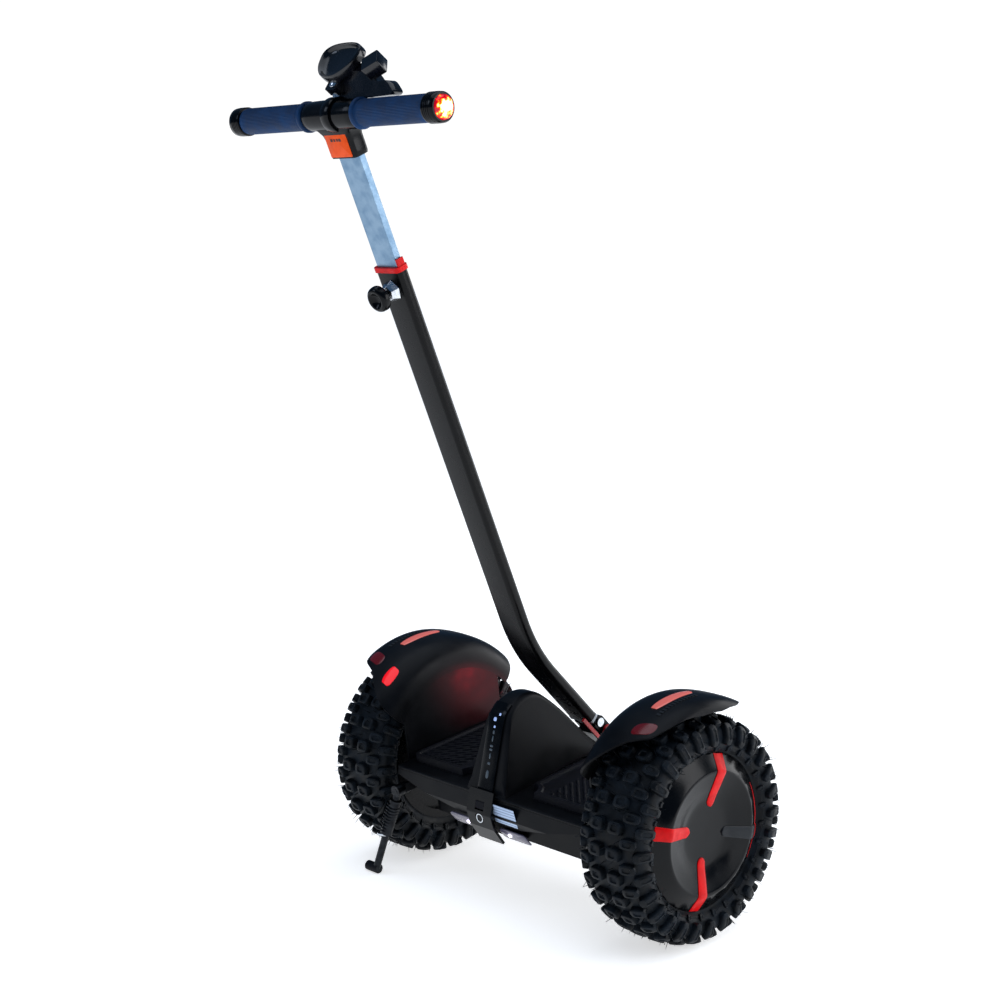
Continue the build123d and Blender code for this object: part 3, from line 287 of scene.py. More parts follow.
def piece(name, sheets, material, body, replaces=(), sharp=38, bevel=0.0, fill=False):
    """One mesh from grids, each (points, rows wrap, columns wrap); a grid may be a whole stack of copies."""
    points, faces, count = [], [], 0
    for grid, wrap_rows, wrap_columns in sheets:
        grid = np.asarray(grid, float)
        grid = grid[None] if grid.ndim == 3 else grid
        copies, rows, columns = grid.shape[:3]
        base = quads(rows, columns, wrap_rows, wrap_columns)
        shift = count + rows * columns * np.arange(copies)[:, None, None]
        faces.append((base[None] + shift).reshape(-1, 4))
        points.append(grid.reshape(-1, 3))
        count += copies * rows * columns
    faces = np.concatenate(faces)
    mesh = bpy.data.meshes.new(name)
    mesh.vertices.add(count)
    mesh.vertices.foreach_set("co", (np.concatenate(points) * MM).astype(np.float32).ravel())
    mesh.loops.add(faces.size)
    mesh.loops.foreach_set("vertex_index", faces.ravel().astype(np.int32))
    mesh.polygons.add(len(faces))
    mesh.polygons.foreach_set("loop_start", np.arange(0, faces.size, 4, dtype=np.int32))
    mesh.update(calc_edges=True)
    work = bmesh.new()
    work.from_mesh(mesh)
    bmesh.ops.remove_doubles(work, verts=work.verts, dist=2e-6)
    bmesh.ops.dissolve_degenerate(work, edges=work.edges, dist=1e-6)
    if fill:
        bmesh.ops.holes_fill(work, edges=[e for e in work.edges if e.is_boundary], sides=0)
    bmesh.ops.recalc_face_normals(work, faces=work.faces)
    work.to_mesh(mesh)
    work.free()
    mesh.validate()
    mesh.polygons.foreach_set("use_smooth", np.ones(len(mesh.polygons), bool))
    mesh.set_sharp_from_angle(angle=radians(sharp))
    made = bpy.data.objects.new(name, mesh)
    scene.collection.objects.link(made)
    mesh.materials.append(material)
    if bevel:
        edge = made.modifiers.new("edge", "BEVEL")
        edge.width, edge.segments, edge.limit_method, edge.angle_limit = bevel * MM, 2, "ANGLE", radians(40)
    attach(made, body)
    if replaces:
        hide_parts(*replaces)
    print(f"{name}: {len(mesh.polygons)} faces")
    return made


def turned(profile, place, spokes=96, start=0.0):
    """Turns (out, radius) points about an axis: the angle runs once round, place puts them in the machine."""
    angle = start + np.linspace(0, 2 * np.pi, spokes, endpoint=False)[None, :]
    profile = np.asarray(profile, float)
    return place(profile[:, 0, None], profile[:, 1, None], angle)


def about(origin, axis, side):
    """Place for turned pieces on any axis: origin + out axis + radius (cos side + sin across)."""
    axis, side = np.asarray(axis) / np.linalg.norm(axis), np.asarray(side, float)
    across = np.cross(axis, side)
    return lambda out, radius, angle: (np.asarray(origin) + out[..., None] * axis
                                       + (radius * np.cos(angle))[..., None] * side
                                       + (radius * np.sin(angle))[..., None] * across)


# %% [markdown]
# Finishes, named for what the real ones are. Most of the machine is black, so the differences
# are in gloss and grain: moulded ABS, gloss caps, powder paint and three sorts of rubber.
# %% Finishes
black_abs = finish("moulded_black_abs", "#06070a", (0.34, 0.46), "#0a0c10", grain=0.9, depth=0.012,
                   Specular_IOR_Level=0.13)
gloss_abs = finish("polished_black_abs", "#040507", (0.14, 0.24), "#07090c", grain=3.0, depth=0.004,
                   Specular_IOR_Level=0.16)
tyre_rubber = finish("moulded_tyre_rubber", "#080c10", (0.4, 0.6), "#101922", patch=14.0, grain=0.8,
                     depth=0.05,
                     Specular_IOR_Level=0.14)
pad_rubber = finish("moulded_pad_rubber", "#090a10", (0.5, 0.65), "#0e0f18", patch=20.0, grain=0.7,
                    depth=0.03,
                    Specular_IOR_Level=0.14)
grip_rubber = finish("navy_grip_rubber", "#04294f", (0.45, 0.6), "#083664", patch=18.0, grain=0.6, depth=0.03,
                     Specular_IOR_Level=0.2)
pole_paint = finish("black_powder_coat", "#030304", (0.24, 0.32), "#060608", grain=0.8, depth=0.006,
                    Specular_IOR_Level=0.16)
red_plastic = finish("moulded_red_abs", "#dc060c", (0.3, 0.42), "#c40409", patch=12.0, grain=0.9, depth=0.01,
                     Specular_IOR_Level=0.15)
tube_metal = finish("brushed_aluminium", "#7f98ae", (0.3, 0.46), "#6d8aa4", patch=12.0, grain=0.5, depth=0.01,
                    stretch=(1, 1, 0.04), Metallic=1.0)
bright_zinc = finish("bright_zinc_plate", "#d6dade", (0.15, 0.28), "#b9bec4", patch=4.0, grain=0.8,
                     depth=0.01,
                     Metallic=1.0)
dark_steel = finish("black_oxide_steel", "#2a2c2f", (0.3, 0.45), "#1c1d20", patch=8.0, grain=0.7, depth=0.01,
                    Metallic=1.0)
grey_plastic = finish("charcoal_abs", "#1f2327", (0.35, 0.45), "#1a1d21", grain=0.9, depth=0.012,
                      Specular_IOR_Level=0.2)
coral_lens = glowing("coral_acrylic", "#c56a62", "#ff6a58", 0.28)
red_lens = glowing("red_acrylic", "#8a0710", "#ff0a18", 0.75)
smoked_red = glowing("smoked_red_acrylic", "#3c050b", "#ff0a18", 0.05)
print("finishes", len(bpy.data.materials))

# %% [markdown]
# The tyre is a turned carcass with blocks of tread laid over it. A tread block is one small form,
# copied along and across the tyre's skin in one array; its foot is left open, sunk in the carcass.
# Whiskers are the rubber that the mould's vents leave, drawn a little stouter than the real ones.
# %% Tyres
PITCHES = 28
TYRE_RADIUS = 141.0
carcass = smooth([(0, 133), (14, 132.8), (28, 131.4), (37, 128.4), (42.5, 122.5), (44.3, 114.5),
                  (43.6, 107.5),
                  (41.6, 103.4), (41.9, 101.9), (39.9, 100.4), (36.5, 97.5), (33.6, 92), (33.0, 84.5)], 60)
skin_along = np.concatenate([[0], np.cumsum(np.linalg.norm(np.diff(carcass, axis=0), axis=1))])
skin_turn = np.gradient(carcass, axis=0)
skin_turn /= np.linalg.norm(skin_turn, axis=1, keepdims=True)


def on_skin(side, across, around, height):
    """Point over the tyre: across is measured along the skin from the crown, around is an angle,
    and height stands off along the skin's normal, which is the tangent turned a quarter."""
    s, sign = np.abs(across), np.sign(across)
    out, radius, tangent_out, tangent_r = (np.interp(s, skin_along, v) for v in (*carcass.T, *skin_turn.T))
    out, radius = out - height * tangent_r, radius + height * tangent_out
    return on_wheel(side, sign * out, radius, around)


def tread_blocks(side, outline, across, phase, height, bowl):
    """Blocks at each pitch: the outline at six levels, wider at the foot and bowled on top."""
    levels = np.array([(1.14, -1.5), (1.06, 0.55 * height), (0.97, 0.93 * height), (0.86, height),
                       (0.55, height), (0.44, height - bowl)])
    spots = np.array([(side_of * across, (k + phase) * 2 * np.pi / PITCHES)
                      for k in range(PITCHES) for side_of in ((-1, 1) if across else (1,))])
    middle = outline.mean(0)
    rings = middle + levels[:, 0, None, None] * (outline - middle)
    a = spots[:, 0, None, None] + np.sign(spots[:, 0] + 0.1)[:, None, None] * rings[None, ..., 0]
    around = spots[:, 1, None, None] + rings[None, ..., 1] / TYRE_RADIUS
    points = on_skin(side, a, around, levels[None, :, 1, None])
    top = points[:, -1]
    half = top.shape[1] // 2
    return [(points, False, True), (np.stack([top[:, :half], top[:, half:][:, ::-1]], 1), False, False)]


dice = np.random.default_rng(7)
for side, hand in ((-1, "left"), (1, "right")):
    wall = np.concatenate([carcass, carcass[::-1] * (-1, 1)])
    sheets = [(turned(wall, lambda o, r, a: on_wheel(side, o, r, a), 168), True, True)]
    sheets += tread_blocks(side, rounded(18, 15, 4, 3), 13.5, 0.0, 8.0, 2.0)
    sheets += tread_blocks(side, rounded(17, 12, 4, 3), 31.5, 0.5, 7.6, 1.6)
    sheets += tread_blocks(side, rounded(22, 13, 4, 3), 49.0, 0.0, 7.0, 1.2)
    sheets += tread_blocks(side, rounded(10, 9, 3.5, 3), 66.0, 0.5, 2.2, 0.5)
    piece(f"tread_{hand}", sheets, tyre_rubber, f"{hand}_wheel", [f"tyre_{hand}"])

    hairs = 620
    across, around = dice.uniform(-62, 62, hairs), dice.uniform(0, 2 * np.pi, hairs)
    around = around[np.abs(np.sin((around - 1.5 * np.pi) / 2)) > 0.14][:460]
    across = across[:len(around)]
    length = dice.uniform(8.5, 15, len(around))
    swing = dice.normal(0, 0.16, (2, len(around)))
    t = np.array([0, 0.5, 1.0])[None, :, None]
    thin = np.array([0.55, 0.45, 0.22])[None, :, None]
    spin = np.array([0, 2.1, 4.2])[None, None, :]
    a = across[:, None, None] + thin * np.cos(spin) + (swing[0] * length)[:, None, None] * t ** 2
    b = around[:, None,
               None] + (thin * np.sin(spin) + (swing[1] * length)[:, None, None] * t ** 2) / TYRE_RADIUS
    rings = on_skin(side, a, b, length[:, None, None] * t)
    tip = np.broadcast_to(rings[:, -1:].mean(2, keepdims=True), rings[:, -1:].shape)
    root = np.broadcast_to(rings[:, :1].mean(2, keepdims=True), rings[:, :1].shape)
    piece(f"whiskers_{hand}", [(np.concatenate([root, rings, tip], 1), False, True)], tyre_rubber,
          f"{hand}_wheel")

# %% [markdown]
# The hub cap is a gloss dish: a raised crest ring with a hollow middle. Four bars lie over it from
# the rim inwards, three moulded in red and one in charcoal with a red tip, and follow its curve.
# A thin red line runs round the front of the crest.
# %% Hub caps
cap_face = smooth([(34.0, 98.6), (36.0, 96.8), (39.4, 91), (44.4, 82.5), (46.9, 77.5), (47.5, 75.0),
                   (46.7, 72.6),
                   (42.6, 58), (38.9, 46), (37.0, 37), (36.2, 22), (35.8, 0)], 60)
cap_out = cap_face[::-1, 0]
cap_radius = cap_face[::-1, 1]


def on_cap(side, radius, across, lift, turn):
    """Point over the hub cap: radius along a spoke at angle turn, across it, and lifted off the face."""
    reach = np.hypot(radius, across)
    out = np.interp(reach, cap_radius, cap_out) + lift
    return on_wheel(side, out, reach, turn + np.arctan2(across, radius))


def cap_bar(side, turn, start, end, wide=True):
    """Bar along a spoke: rounded at its inner end, wider towards the rim, crowned across."""
    r = start + (end - start) * np.concatenate([[0, 0.006, 0.02, 0.045], np.linspace(0.08, 1, 22)])
    half = 6.3 + 2.2 * np.clip((r - 31) / 63, 0, 1)
    into = np.clip((r - start) / half, 0, 1) if wide else np.ones_like(r)
    half = half * np.sqrt(np.clip(1 - (1 - into) ** 2, 0.02, 1))
    ring = rounded(2, 2, 0.6, 3)
    across = half[:, None] * ring[None, :, 0]
    lift = 0.5 + 1.25 * ring[None, :, 1] - 0.25 * ring[None, :, 0] ** 2 + 0 * across
    return [(closed_ends(on_cap(side, r[:, None] + 0 * across, across, lift, turn)), False, True)]


for side, hand in ((-1, "left"), (1, "right")):
    back = cap_face[::-1] - (2.4, 0)
    loop = np.concatenate([cap_face, back])
    piece(f"cap_dish_{hand}", [(turned(loop, lambda o, r, a: on_wheel(side, o, r, a), 128), True, True)],
          gloss_abs, f"{hand}_wheel", [f"hub_cap_{hand}"])
    turns = [radians(78 + 90 * k) for k in range(4)]
    red = sum([cap_bar(side, turn, 31, 95.5) for turn in turns[:3]], [])
    red += cap_bar(side, turns[3], 90.2, 95.5, wide=False)
    piece(f"red_bars_{hand}", red, red_plastic, f"{hand}_wheel", [f"cap_bars_{hand}"])
    piece(f"grey_bar_{hand}", cap_bar(side, turns[3], 31, 90), grey_plastic, f"{hand}_wheel")
    sweep = np.linspace(radians(-33), radians(30), 40)
    narrow = 1.3 * np.sqrt(np.clip(np.sin(np.linspace(0, np.pi, 40)), 0.02, 1))
    ring = rounded(2, 2, 0.9, 3)
    arc = on_cap(side, 90.6 + narrow[:, None] * ring[None, :, 0], 0.0, 0.2 + 0.35 * ring[None, :, 1],
                 sweep[:, None])
    piece(f"red_line_{hand}", [(closed_ends(arc), False, True)], red_plastic, f"{hand}_wheel")

# %% [markdown]
# Each fender is one moulding: an upright wall beside the deck and a dome swept over the wheel,
# cut back at a slant to a lip that points forward. The sheet is a section of (across, radius)
# points carried round the axle, from a rear angle to a front angle that both change across it.
# %% Fenders
fender_section = smooth([(168.4, 122), (169.6, 133), (174, 145), (182.5, 154), (194, 159.6), (208, 162.2),
                         (225, 163.2), (245, 163), (258, 161.2), (266, 157.6), (270.6, 153), (272.4, 147.5)],
                         44)
EDGE_X = np.array([168.0, 185, 200, 215, 232, 250, 257, 262, 266, 269, 271.4, 272.6])
REAR_EDGE = np.array([40.0, 43.5, 48, 53, 58.5, 61.6, 63.2, 66.5, 71, 77.5, 86, 94])
FRONT_EDGE = np.array([142.0, 139.5, 137, 134, 130, 125.5, 123.5, 121.5, 119, 116, 111, 104])


def guard_wall(side):
    """Upright wall: at each angle it runs from the deck's edge out to the dome or to its own end."""
    angle = np.linspace(np.arctan2(22.6, 90), np.pi - np.arctan2(22.6, 82), 90)
    low = 22.6 / np.sin(angle)
    end = np.where(angle < np.pi / 2, 90, 82) / np.maximum(np.abs(np.cos(angle)), 1e-6)
    reach = np.minimum(end, 122.4)
    radius = low[:, None] + (reach - low)[:, None] * np.linspace(0, 1, 12)[None]
    face = over_wheel(side, 168.4, radius, np.degrees(angle)[:, None])
    return thick(face if side > 0 else face[::-1], -3.0)


for side, hand in ((-1, "left"), (1, "right")):
    x, radius = fender_section.T
    part = np.linspace(0, 1, 72)[:, None]
    rear, front = np.interp(x, EDGE_X, REAR_EDGE), np.interp(x, EDGE_X, FRONT_EDGE)
    angle = rear + (front - rear) * part
    dome = over_wheel(side, x, radius, angle)
    dome = dome if side < 0 else dome[::-1]
    sheets = thick(dome, 3.0) + guard_wall(side)
    piece(f"fender_shell_{hand}", sheets, black_abs, "chassis", [f"fender_{hand}"],
          bevel=0.7)

    marks = []
    for k, spot in enumerate(np.linspace(76, 99, 13)):
        turn = spot + 0.55 * np.array([-1, -1, 1, 1])
        ring = np.stack([turn, 163.2 + np.array([-0.6, 0.7, 0.7, -0.6])], 1)
        across = np.linspace(240, 246, 4)[:, None]
        marks.append(closed_ends(over_wheel(side, across, ring[None, :, 1], ring[None, :, 0])))
    piece(f"fender_marks_{hand}", [(m, False, True) for m in marks], grey_plastic, "chassis")


def crown_lens(side, inner, outer, rear, front, proud, slant=0.0):
    """Lens on the dome's crown: the dome's own section lifted by proud, with rounded ends."""
    t = np.linspace(0, 1, 24)[:, None]
    pinch = np.clip(np.sin(np.pi * np.clip(t, 0.012, 0.988)), 0, 1) ** 0.18
    ring = rounded(2, 2, 0.8, 4)[None]
    x = (inner + outer) / 2 + (outer - inner) / 2 * pinch * ring[..., 0]
    angle = rear + (front - rear) * t + slant * (x - inner)
    base = np.interp(x, *fender_section.T)
    return closed_ends(over_wheel(side, x, base - 1.8 + (1.8 + proud) * (ring[..., 1] + 1) / 2, angle))


crown = [(crown_lens(side, 220, 236, 79, 102, 0.9), False, True) for side in (-1, 1)]
piece("crown_lenses", crown, coral_lens, "chassis", ["fender_lenses"])
smoked = [(crown_lens(side, 226, 258, 61.5, 68.0, 0.5, 0.1), False, True) for side in (-1, 1)]
piece("outer_tail_lamps", smoked, smoked_red, "chassis", ["tail_lenses"])
tails = [(crown_lens(-1, 187, 207, 53, 63, 0.4, 0.1), False, True)]
piece("inner_tail_lamp", tails, red_lens, "chassis")

# %% [markdown]
# The console between the feet is a tall fin, thin towards the front. Its outline in side view is a
# run of points; at each one a hoop climbs from the deck up one side, over a rounded shoulder and
# down the other, so the whole fin is one loft.
# %% Console
ridge = smooth([(-108.5, 26), (-96, 60), (-83, 94), (-77, 109), (-70, 122), (-58, 131.5), (-44, 136.6),
                (-29, 137.4),
                (-12, 131.5), (6, 116), (25.5, 95.4), (45, 71.5), (65, 47.5), (84, 26)], 90)


def console_hoop(y, top):
    """Half widths: 35 mm at the rear foot, 22 at the front one, up to 13 less at the crest, 6 at least."""
    plan = 35 - 13 * np.clip((y + 108.5) / 192.5, 0, 1)
    slope = 13 / 111.4
    crest_half = np.maximum(plan - slope * (top - 26), 6.0)
    shoulder = np.minimum(9.0, (top - 26) * 0.45)
    turn = np.linspace(0, np.pi / 2, 8)
    side_x = np.stack([plan, (plan + crest_half) / 2,
                       *(crest_half - shoulder * (1 - np.cos(t)) for t in turn)], 1)
    rise = top - shoulder - 26
    side_z = np.stack([26 + 0 * top, 26 + rise / 2, *(top - shoulder * (1 - np.sin(t)) for t in turn)], 1)
    x = np.concatenate([side_x, -side_x[:, ::-1]], 1)
    z = np.concatenate([side_z, side_z[:, ::-1]], 1)
    return board(stack(x, y[:, None], z))


hoops = console_hoop(*ridge.T)
piece("console_fin", [(hoops, False, False)], black_abs, "chassis", ["console_cover"],
      fill=True)

# %% [markdown]
# Down the console's rear runs a narrow trim strip of polished plastic with charge marks and
# three small lamps. The lamps and marks are separate raised inlays, and none of them is lettering.
# %% Console trim
trim_line = smooth([(-109.0, 27), (-100, 50), (-90.5, 76), (-83.2, 95), (-77.6, 109), (-70.4, 122.4),
                    (-60, 130.6)], 40)
trim_run = np.gradient(trim_line, axis=0)
trim_run /= np.linalg.norm(trim_run, axis=1, keepdims=True)


def on_trim(t, x, lift):
    """Point on the rear trim: t runs from its foot to its head, lift stands off its face."""
    y, z, ty, tz = (np.interp(t, np.linspace(0, 1, 40), v) for v in (*trim_line.T, *trim_run.T))
    return board(stack(x, y - lift * tz, z + lift * ty))


ring = rounded(2, 2, 0.5, 3)
t = np.linspace(0, 1, 40)[:, None]
strip = on_trim(t, 13.5 * ring[None, :, 0], 0.9 + 1.5 * ring[None, :, 1])
piece("console_trim", [(closed_ends(strip), False, True)], gloss_abs, "chassis",
      ["console_strip"])


def inlay(t, x, long, wide, lift):
    """Small raised lozenge on the trim, long along it and wide across it."""
    ring = rounded(2, 2, 0.7, 4)
    rise = np.array([(1, 0), (1, lift), (0.8, lift + 0.25)])
    spot = on_trim(t + long / 115 * rise[:, :1] * ring[None, :, 1], x + wide * rise[:, :1] * ring[None, :, 0],
                   2.35 + rise[:, 1:])
    return (closed_ends(spot), False, True)


mark_ink = finish("pale_mark_print", "#3d4a55", (0.4, 0.5), patch=6.0, grain=0.8, depth=0.004)
lamp_blue = glowing("cool_indicator_lens", "#8fa6d2", "#a9c4ff", 0.45)
marks = [inlay(s, 0, l, w, 0.1) for s, l, w in
         ((0.66, 2.2, 1.6), (0.59, 3.6, 1.1), (0.51, 1.4, 2.6), (0.47, 1.4, 2.6), (0.40, 3.4, 1.3),
          (0.32, 1.6, 2.4))]
marks += [inlay(0.20, 0, 5.0, 2.4, 0.1)]
piece("trim_marks", marks, mark_ink, "chassis")
piece("trim_lamps",
      [inlay(0.80, -1.5, 2.4, 2.4, 0.4), inlay(0.86, 5.0, 1.6, 1.6, 0.4), inlay(0.72, 0, 1.5, 1.5, 0.3)],
      lamp_blue, "chassis")

# %% [markdown]
# The deck pads are moulded rubber trays: a rim all round, a shallow floor, and slanting ribs that
# point forward and inward. Each is a height map over its plan, where height depends on the
# distance from the nearest edge and on which rib a point falls on.
# %% Deck pads
for side, hand in ((-1, "left"), (1, "right")):
    y = np.linspace(-88, 77, 190)[:, None]
    end_gap = np.minimum(y + 88, 77 - y)
    pull = 12 - np.sqrt(np.clip(144 - np.clip(12 - end_gap, 0, 12) ** 2, 0, None))
    bite = np.sqrt(np.clip(400 - (y + 88) ** 2, 0, None))
    inner, outer = 45 + np.maximum(pull, bite), 165 - pull
    u = np.linspace(0, 1, 130)[None]
    x = inner + (outer - inner) * u
    gap = np.minimum(np.minimum(x - inner, outer - x), end_gap)
    gap = np.minimum(gap, np.maximum(np.hypot(x - 45, y + 88) - 20, 0))
    ease = lambda v: np.clip(v, 0, 1) ** 2 * (3 - 2 * np.clip(v, 0, 1))
    rib = ease(3.2 * np.cos((x + y) * 2 * np.pi / 11.3) - 0.4) * ease((gap - 9.5) / 2) * ease((x - 80) / 3)
    z = 26.05 + 9.5 * ease(gap / 1.6) ** 0.6 - 3.0 * ease((gap - 6.5) / 2.2) + 2.0 * rib
    z = np.where((u == 0) | (u == 1) | (end_gap < 1e-6), 26.05, z)
    piece(f"pad_{hand}", [(board(stack(side * x, y, z)), False, False)], pad_rubber, "chassis",
          [f"deck_pad_{hand}"], sharp=50, fill=True)

# %% [markdown]
# The pole is a hollow rounded box swept down a straight run, round a bend and down its foot.
# The sweep is a list of centre points with the direction across each; the section rides on it.
# %% Pole
POLE_TOP, KNOB_UP, BEND_RADIUS, FOOT_LENGTH = 530.4, 505, 240, 150
bend = radians(21.5)
tangent = BEND_RADIUS * np.tan(bend / 2)
turn = np.linspace(0, bend, 20)
centre = knee + tangent * pole_up + BEND_RADIUS * pole_front
arc = (centre - BEND_RADIUS * (np.cos(turn)[:, None] * pole_front)
       - BEND_RADIUS * (np.sin(turn)[:, None] * pole_up))
arc_front = np.cos(turn)[:, None] * pole_front + np.sin(turn)[:, None] * pole_up
run = knee + np.linspace(POLE_TOP, tangent + 4, 30)[:, None] * pole_up
tail = knee + np.linspace(tangent + 4, FOOT_LENGTH, 8)[:, None] * foot_down
line = np.concatenate([run, arc, tail])
fronts = np.concatenate([np.repeat(pole_front[None], 30, 0), arc_front, np.repeat(foot_front[None], 8, 0)])
section = rounded(42, 16, 5.6, 7)
tube = line[:, None] + section[None, :, :1] * X + section[None, :, 1:] * fronts[:, None]
inner = rounded(38.4, 12.4, 2.6, 7)
bore = line[:, None] + inner[None, :, :1] * X + inner[None, :, 1:] * fronts[:, None]
piece("pole_sweep", [(np.concatenate([tube, bore[::-1]]), True, True)], pole_paint, "pole",
      ["pole_tube"])
KNOB = knee + KNOB_UP * pole_up
nut = [(7.9, 4.4), (7.9, 13.5), (9.0, 13.8), (13.6, 11.4), (17.0, 9.6), (18.0, 8.6), (18.0, 4.4)]
piece("clamp_nut", [(turned(nut, about(KNOB, -pole_front, X), 6, 0.3), True, True)], bright_zinc, "pole",
      sharp=20, bevel=0.5)

# %% [markdown]
# The clamp knob is a black mushroom: a stalk, a flared skirt and a dished face, turned as one
# profile about the line of the clamp screw.
# %% Clamp knob
knob_profile = smooth([(25.0, 5.2), (25.6, 9), (26.6, 14.4), (28.2, 15.5), (31.5, 15.5), (34.5, 14.9),
                       (36.6, 13.2),
                       (37.4, 11.4), (37.0, 9.6), (34.2, 7.0), (32.4, 4.6), (31.8, 2.4), (31.6, 0)], 44)
knob_profile = np.concatenate([[(5.4, 0), (5.4, 3.9), (18, 3.9), (24.8, 3.9)], knob_profile])
piece("mushroom_knob", [(turned(knob_profile, about(KNOB, -pole_front, X), 48), False, True)],
      gloss_abs, "clamp_knob", ["clamp_knob"])

# %% [markdown]
# The head is a T moulding: a flat stem that flares into a round sleeve. The stem is a stack of
# rounded sections whose width grows as it nears the bar, and the sleeve is turned.
# %% Head
s = np.array([668.0, 668.6, 670, 676, 684, 690, 695, 699, 702.5, 705.5, 708, 712])
flare = np.interp(s, [668, 690, 695, 699, 702.5, 705.5, 708, 712], [0, 0, 1.0, 3.2, 6.5, 11.5, 18, 20])
squeeze = np.where(s < 669, 1.2, np.where(s < 671, 0.3, 0.0))
rings = np.stack([np.concatenate([rounded(46 + 2 * f - q, 22 - q + min(f, 4) * 1.2, 5.0, 6),
                                  np.full((24, 1), h)], 1)
                  for f, q, h in zip(flare, squeeze, s)])
rings[..., 1] -= 1.7
sleeve = [(-44, 13.0), (-43.2, 15.0), (-40, 16.1), (-33, 16.6), (-20, 16.9), (0, 16.9), (20, 16.9),
          (33, 16.6), (40, 16.1),
          (43.2, 15.2), (44, 13.0)]
sleeve = np.concatenate([[(-44, 0)], sleeve, [(44, 0)]])
piece("head_moulding",
      [(closed_ends(pole(rings)), False, True), (turned(sleeve, about(head, X, Y), 64), False, True)],
      gloss_abs, "pole_top", ["tee_head"])

# %% [markdown]
# A plain orange plate lies at the stem's rear face, with one short row of dark dashes where a real
# one would be printed. The dashes are bars, not letters.
# %% Orange plate
orange = finish("orange_vinyl", "#ee5208", (0.4, 0.5), "#e04804", patch=9.0, grain=0.8, depth=0.01,
                Specular_IOR_Level=0.15)
ink = finish("black_print", "#2a0d02", (0.5, 0.6), grain=0.8, depth=0.005)


def flat_tile(width, height, wall, radius, carry):
    """Thin rounded tile: its outline at three levels, the top one drawn in a little."""
    levels = np.array([(0, 0), (0, wall * 0.7), (0.3, wall)])
    rings = np.stack([np.concatenate([rounded(width - 2 * c, height - 2 * c, radius, 4),
                                      np.full((16, 1), h)], 1) for c, h in levels])
    return (closed_ends(carry(rings)), False, True)


stem_back = frame_at(knee + 690.0 * pole_up - 13.0 * pole_front, X, pole_up, -pole_front)
piece("orange_plate", [flat_tile(37, 40, 0.7, 1.2, stem_back)], orange, "pole_top")
dashes = [flat_tile(w, 3.4, 1.1, 0.5, lambda r, a=a: stem_back(r + (a, 0.0, 0))) for a, w in
          ((-8, 4), (-3, 3), (1.5, 2.6), (6, 4.4))]
piece("plate_dashes", dashes, ink, "pole_top")

# %% [markdown]
# The grips are rubber sleeves with fine ribs along them and a flange by the head. Beyond each is a
# ringed collar that holds a round lamp. All three are turned; the ribs are a ripple in the radius
# that depends on the angle.
# %% Grips and end lamps
for side, hand in ((-1, "left"), (1, "right")):
    grip = np.array([(44.6, 0), (44.6, 16.4), (45.4, 17.5), (48.4, 17.5), (49.4, 16.4), (49.9, 14.9),
                     (52, 14.6),
                     *[(v, 15.0) for v in np.linspace(53, 157, 40)], (160, 14.8), (161, 14.0), (161, 0)])
    angle = np.linspace(0, 2 * np.pi, 300, endpoint=False)[None]
    out, radius = grip[:, :1], grip[:, 1:]
    ribbed = (out > 52) & (out < 158)
    ripple = np.where(ribbed, 0.32 * np.clip(np.sin(60 * angle) + 0.3, -1, 0.6), 0)
    points = about(head, side * X, Z)(out + 0 * angle, radius + ripple, angle)
    piece(f"grip_sleeve_{hand}", [(points, False, True)], grip_rubber, "pole_top",
          ["grips"] if side > 0 else [], sharp=60)
    rings = [(161.2, 0), (161.2, 15.0), (161.8, 16.4)]
    for start in (162.2, 165.0, 167.8, 170.6):
        rings += [(start, 16.6), (start + 1.7, 16.6), (start + 2.0, 15.5), (start + 2.5, 15.5)]
    rings += [(173.4, 16.6), (178.6, 16.2), (180, 15.2), (180, 13.4), (177, 13.2), (177, 0)]
    piece(f"end_collar_{hand}", [(turned(rings, about(head, side * X, Z), 64), False, True)], gloss_abs,
          "pole_top", ["end_collars"] if side > 0 else [])

lamp = finish("lit_end_lamp", "#d01010", (0.15, 0.25), grain=1.2, depth=0.02)
tree = lamp.node_tree
shader = next(n for n in tree.nodes if n.type == "BSDF_PRINCIPLED")
where = next(n for n in tree.nodes if n.type == "TEX_COORD")
split = add(tree, "SeparateXYZ", {"Vector": (where, "Object")})
off_y = add(tree, "Math", {0: (split, "Y"), 1: -float(head[1]) * MM}, operation="ADD")
off_z = add(tree, "Math", {0: (split, "Z"), 1: -float(head[2]) * MM}, operation="ADD")
reach = add(tree, "CombineXYZ", {"Y": (off_y, 0), "Z": (off_z, 0)})
length = add(tree, "VectorMath", {0: (reach, 0)}, operation="LENGTH")
blotch = add(tree, "TexNoise", {"Vector": (where, "Object"), "Scale": per_mm(4.6), "Detail": 1.0})
wander = add(tree, "Math", {0: (blotch, 0), 1: 17 * MM, 2: -8.5 * MM}, operation="MULTIPLY_ADD")
edge = add(tree, "Math", {0: (length, "Value"), 1: (wander, 0)}, operation="ADD")
heat = add(tree, "MapRange", {"Value": (edge, 0), "From Min": 5.5 * MM, "From Max": 12.5 * MM})
ramp = add(tree, "ValToRGB", {"Fac": (heat, 0)})
stops = ramp.color_ramp.elements
stops[0].color, stops[1].color = linear("#fffdf0"), linear("#8c0010")
for at, code in ((0.28, "#fff27a"), (0.5, "#ff9a10"), (0.68, "#ff2a05"), (0.84, "#d90410")):
    stops.new(at).color = linear(code)
tree.links.new(ramp.outputs[0], shader.inputs["Emission Color"])
tree.links.new(ramp.outputs[0], shader.inputs["Base Color"])
shader.inputs["Emission Strength"].default_value = 1.5
lens = smooth([(176.6, 13.1), (180, 13.1), (182.8, 11.6), (184.4, 8.4), (185, 4.2), (185, 0)], 16)
lens = np.concatenate([[(176.6, 0)], lens])
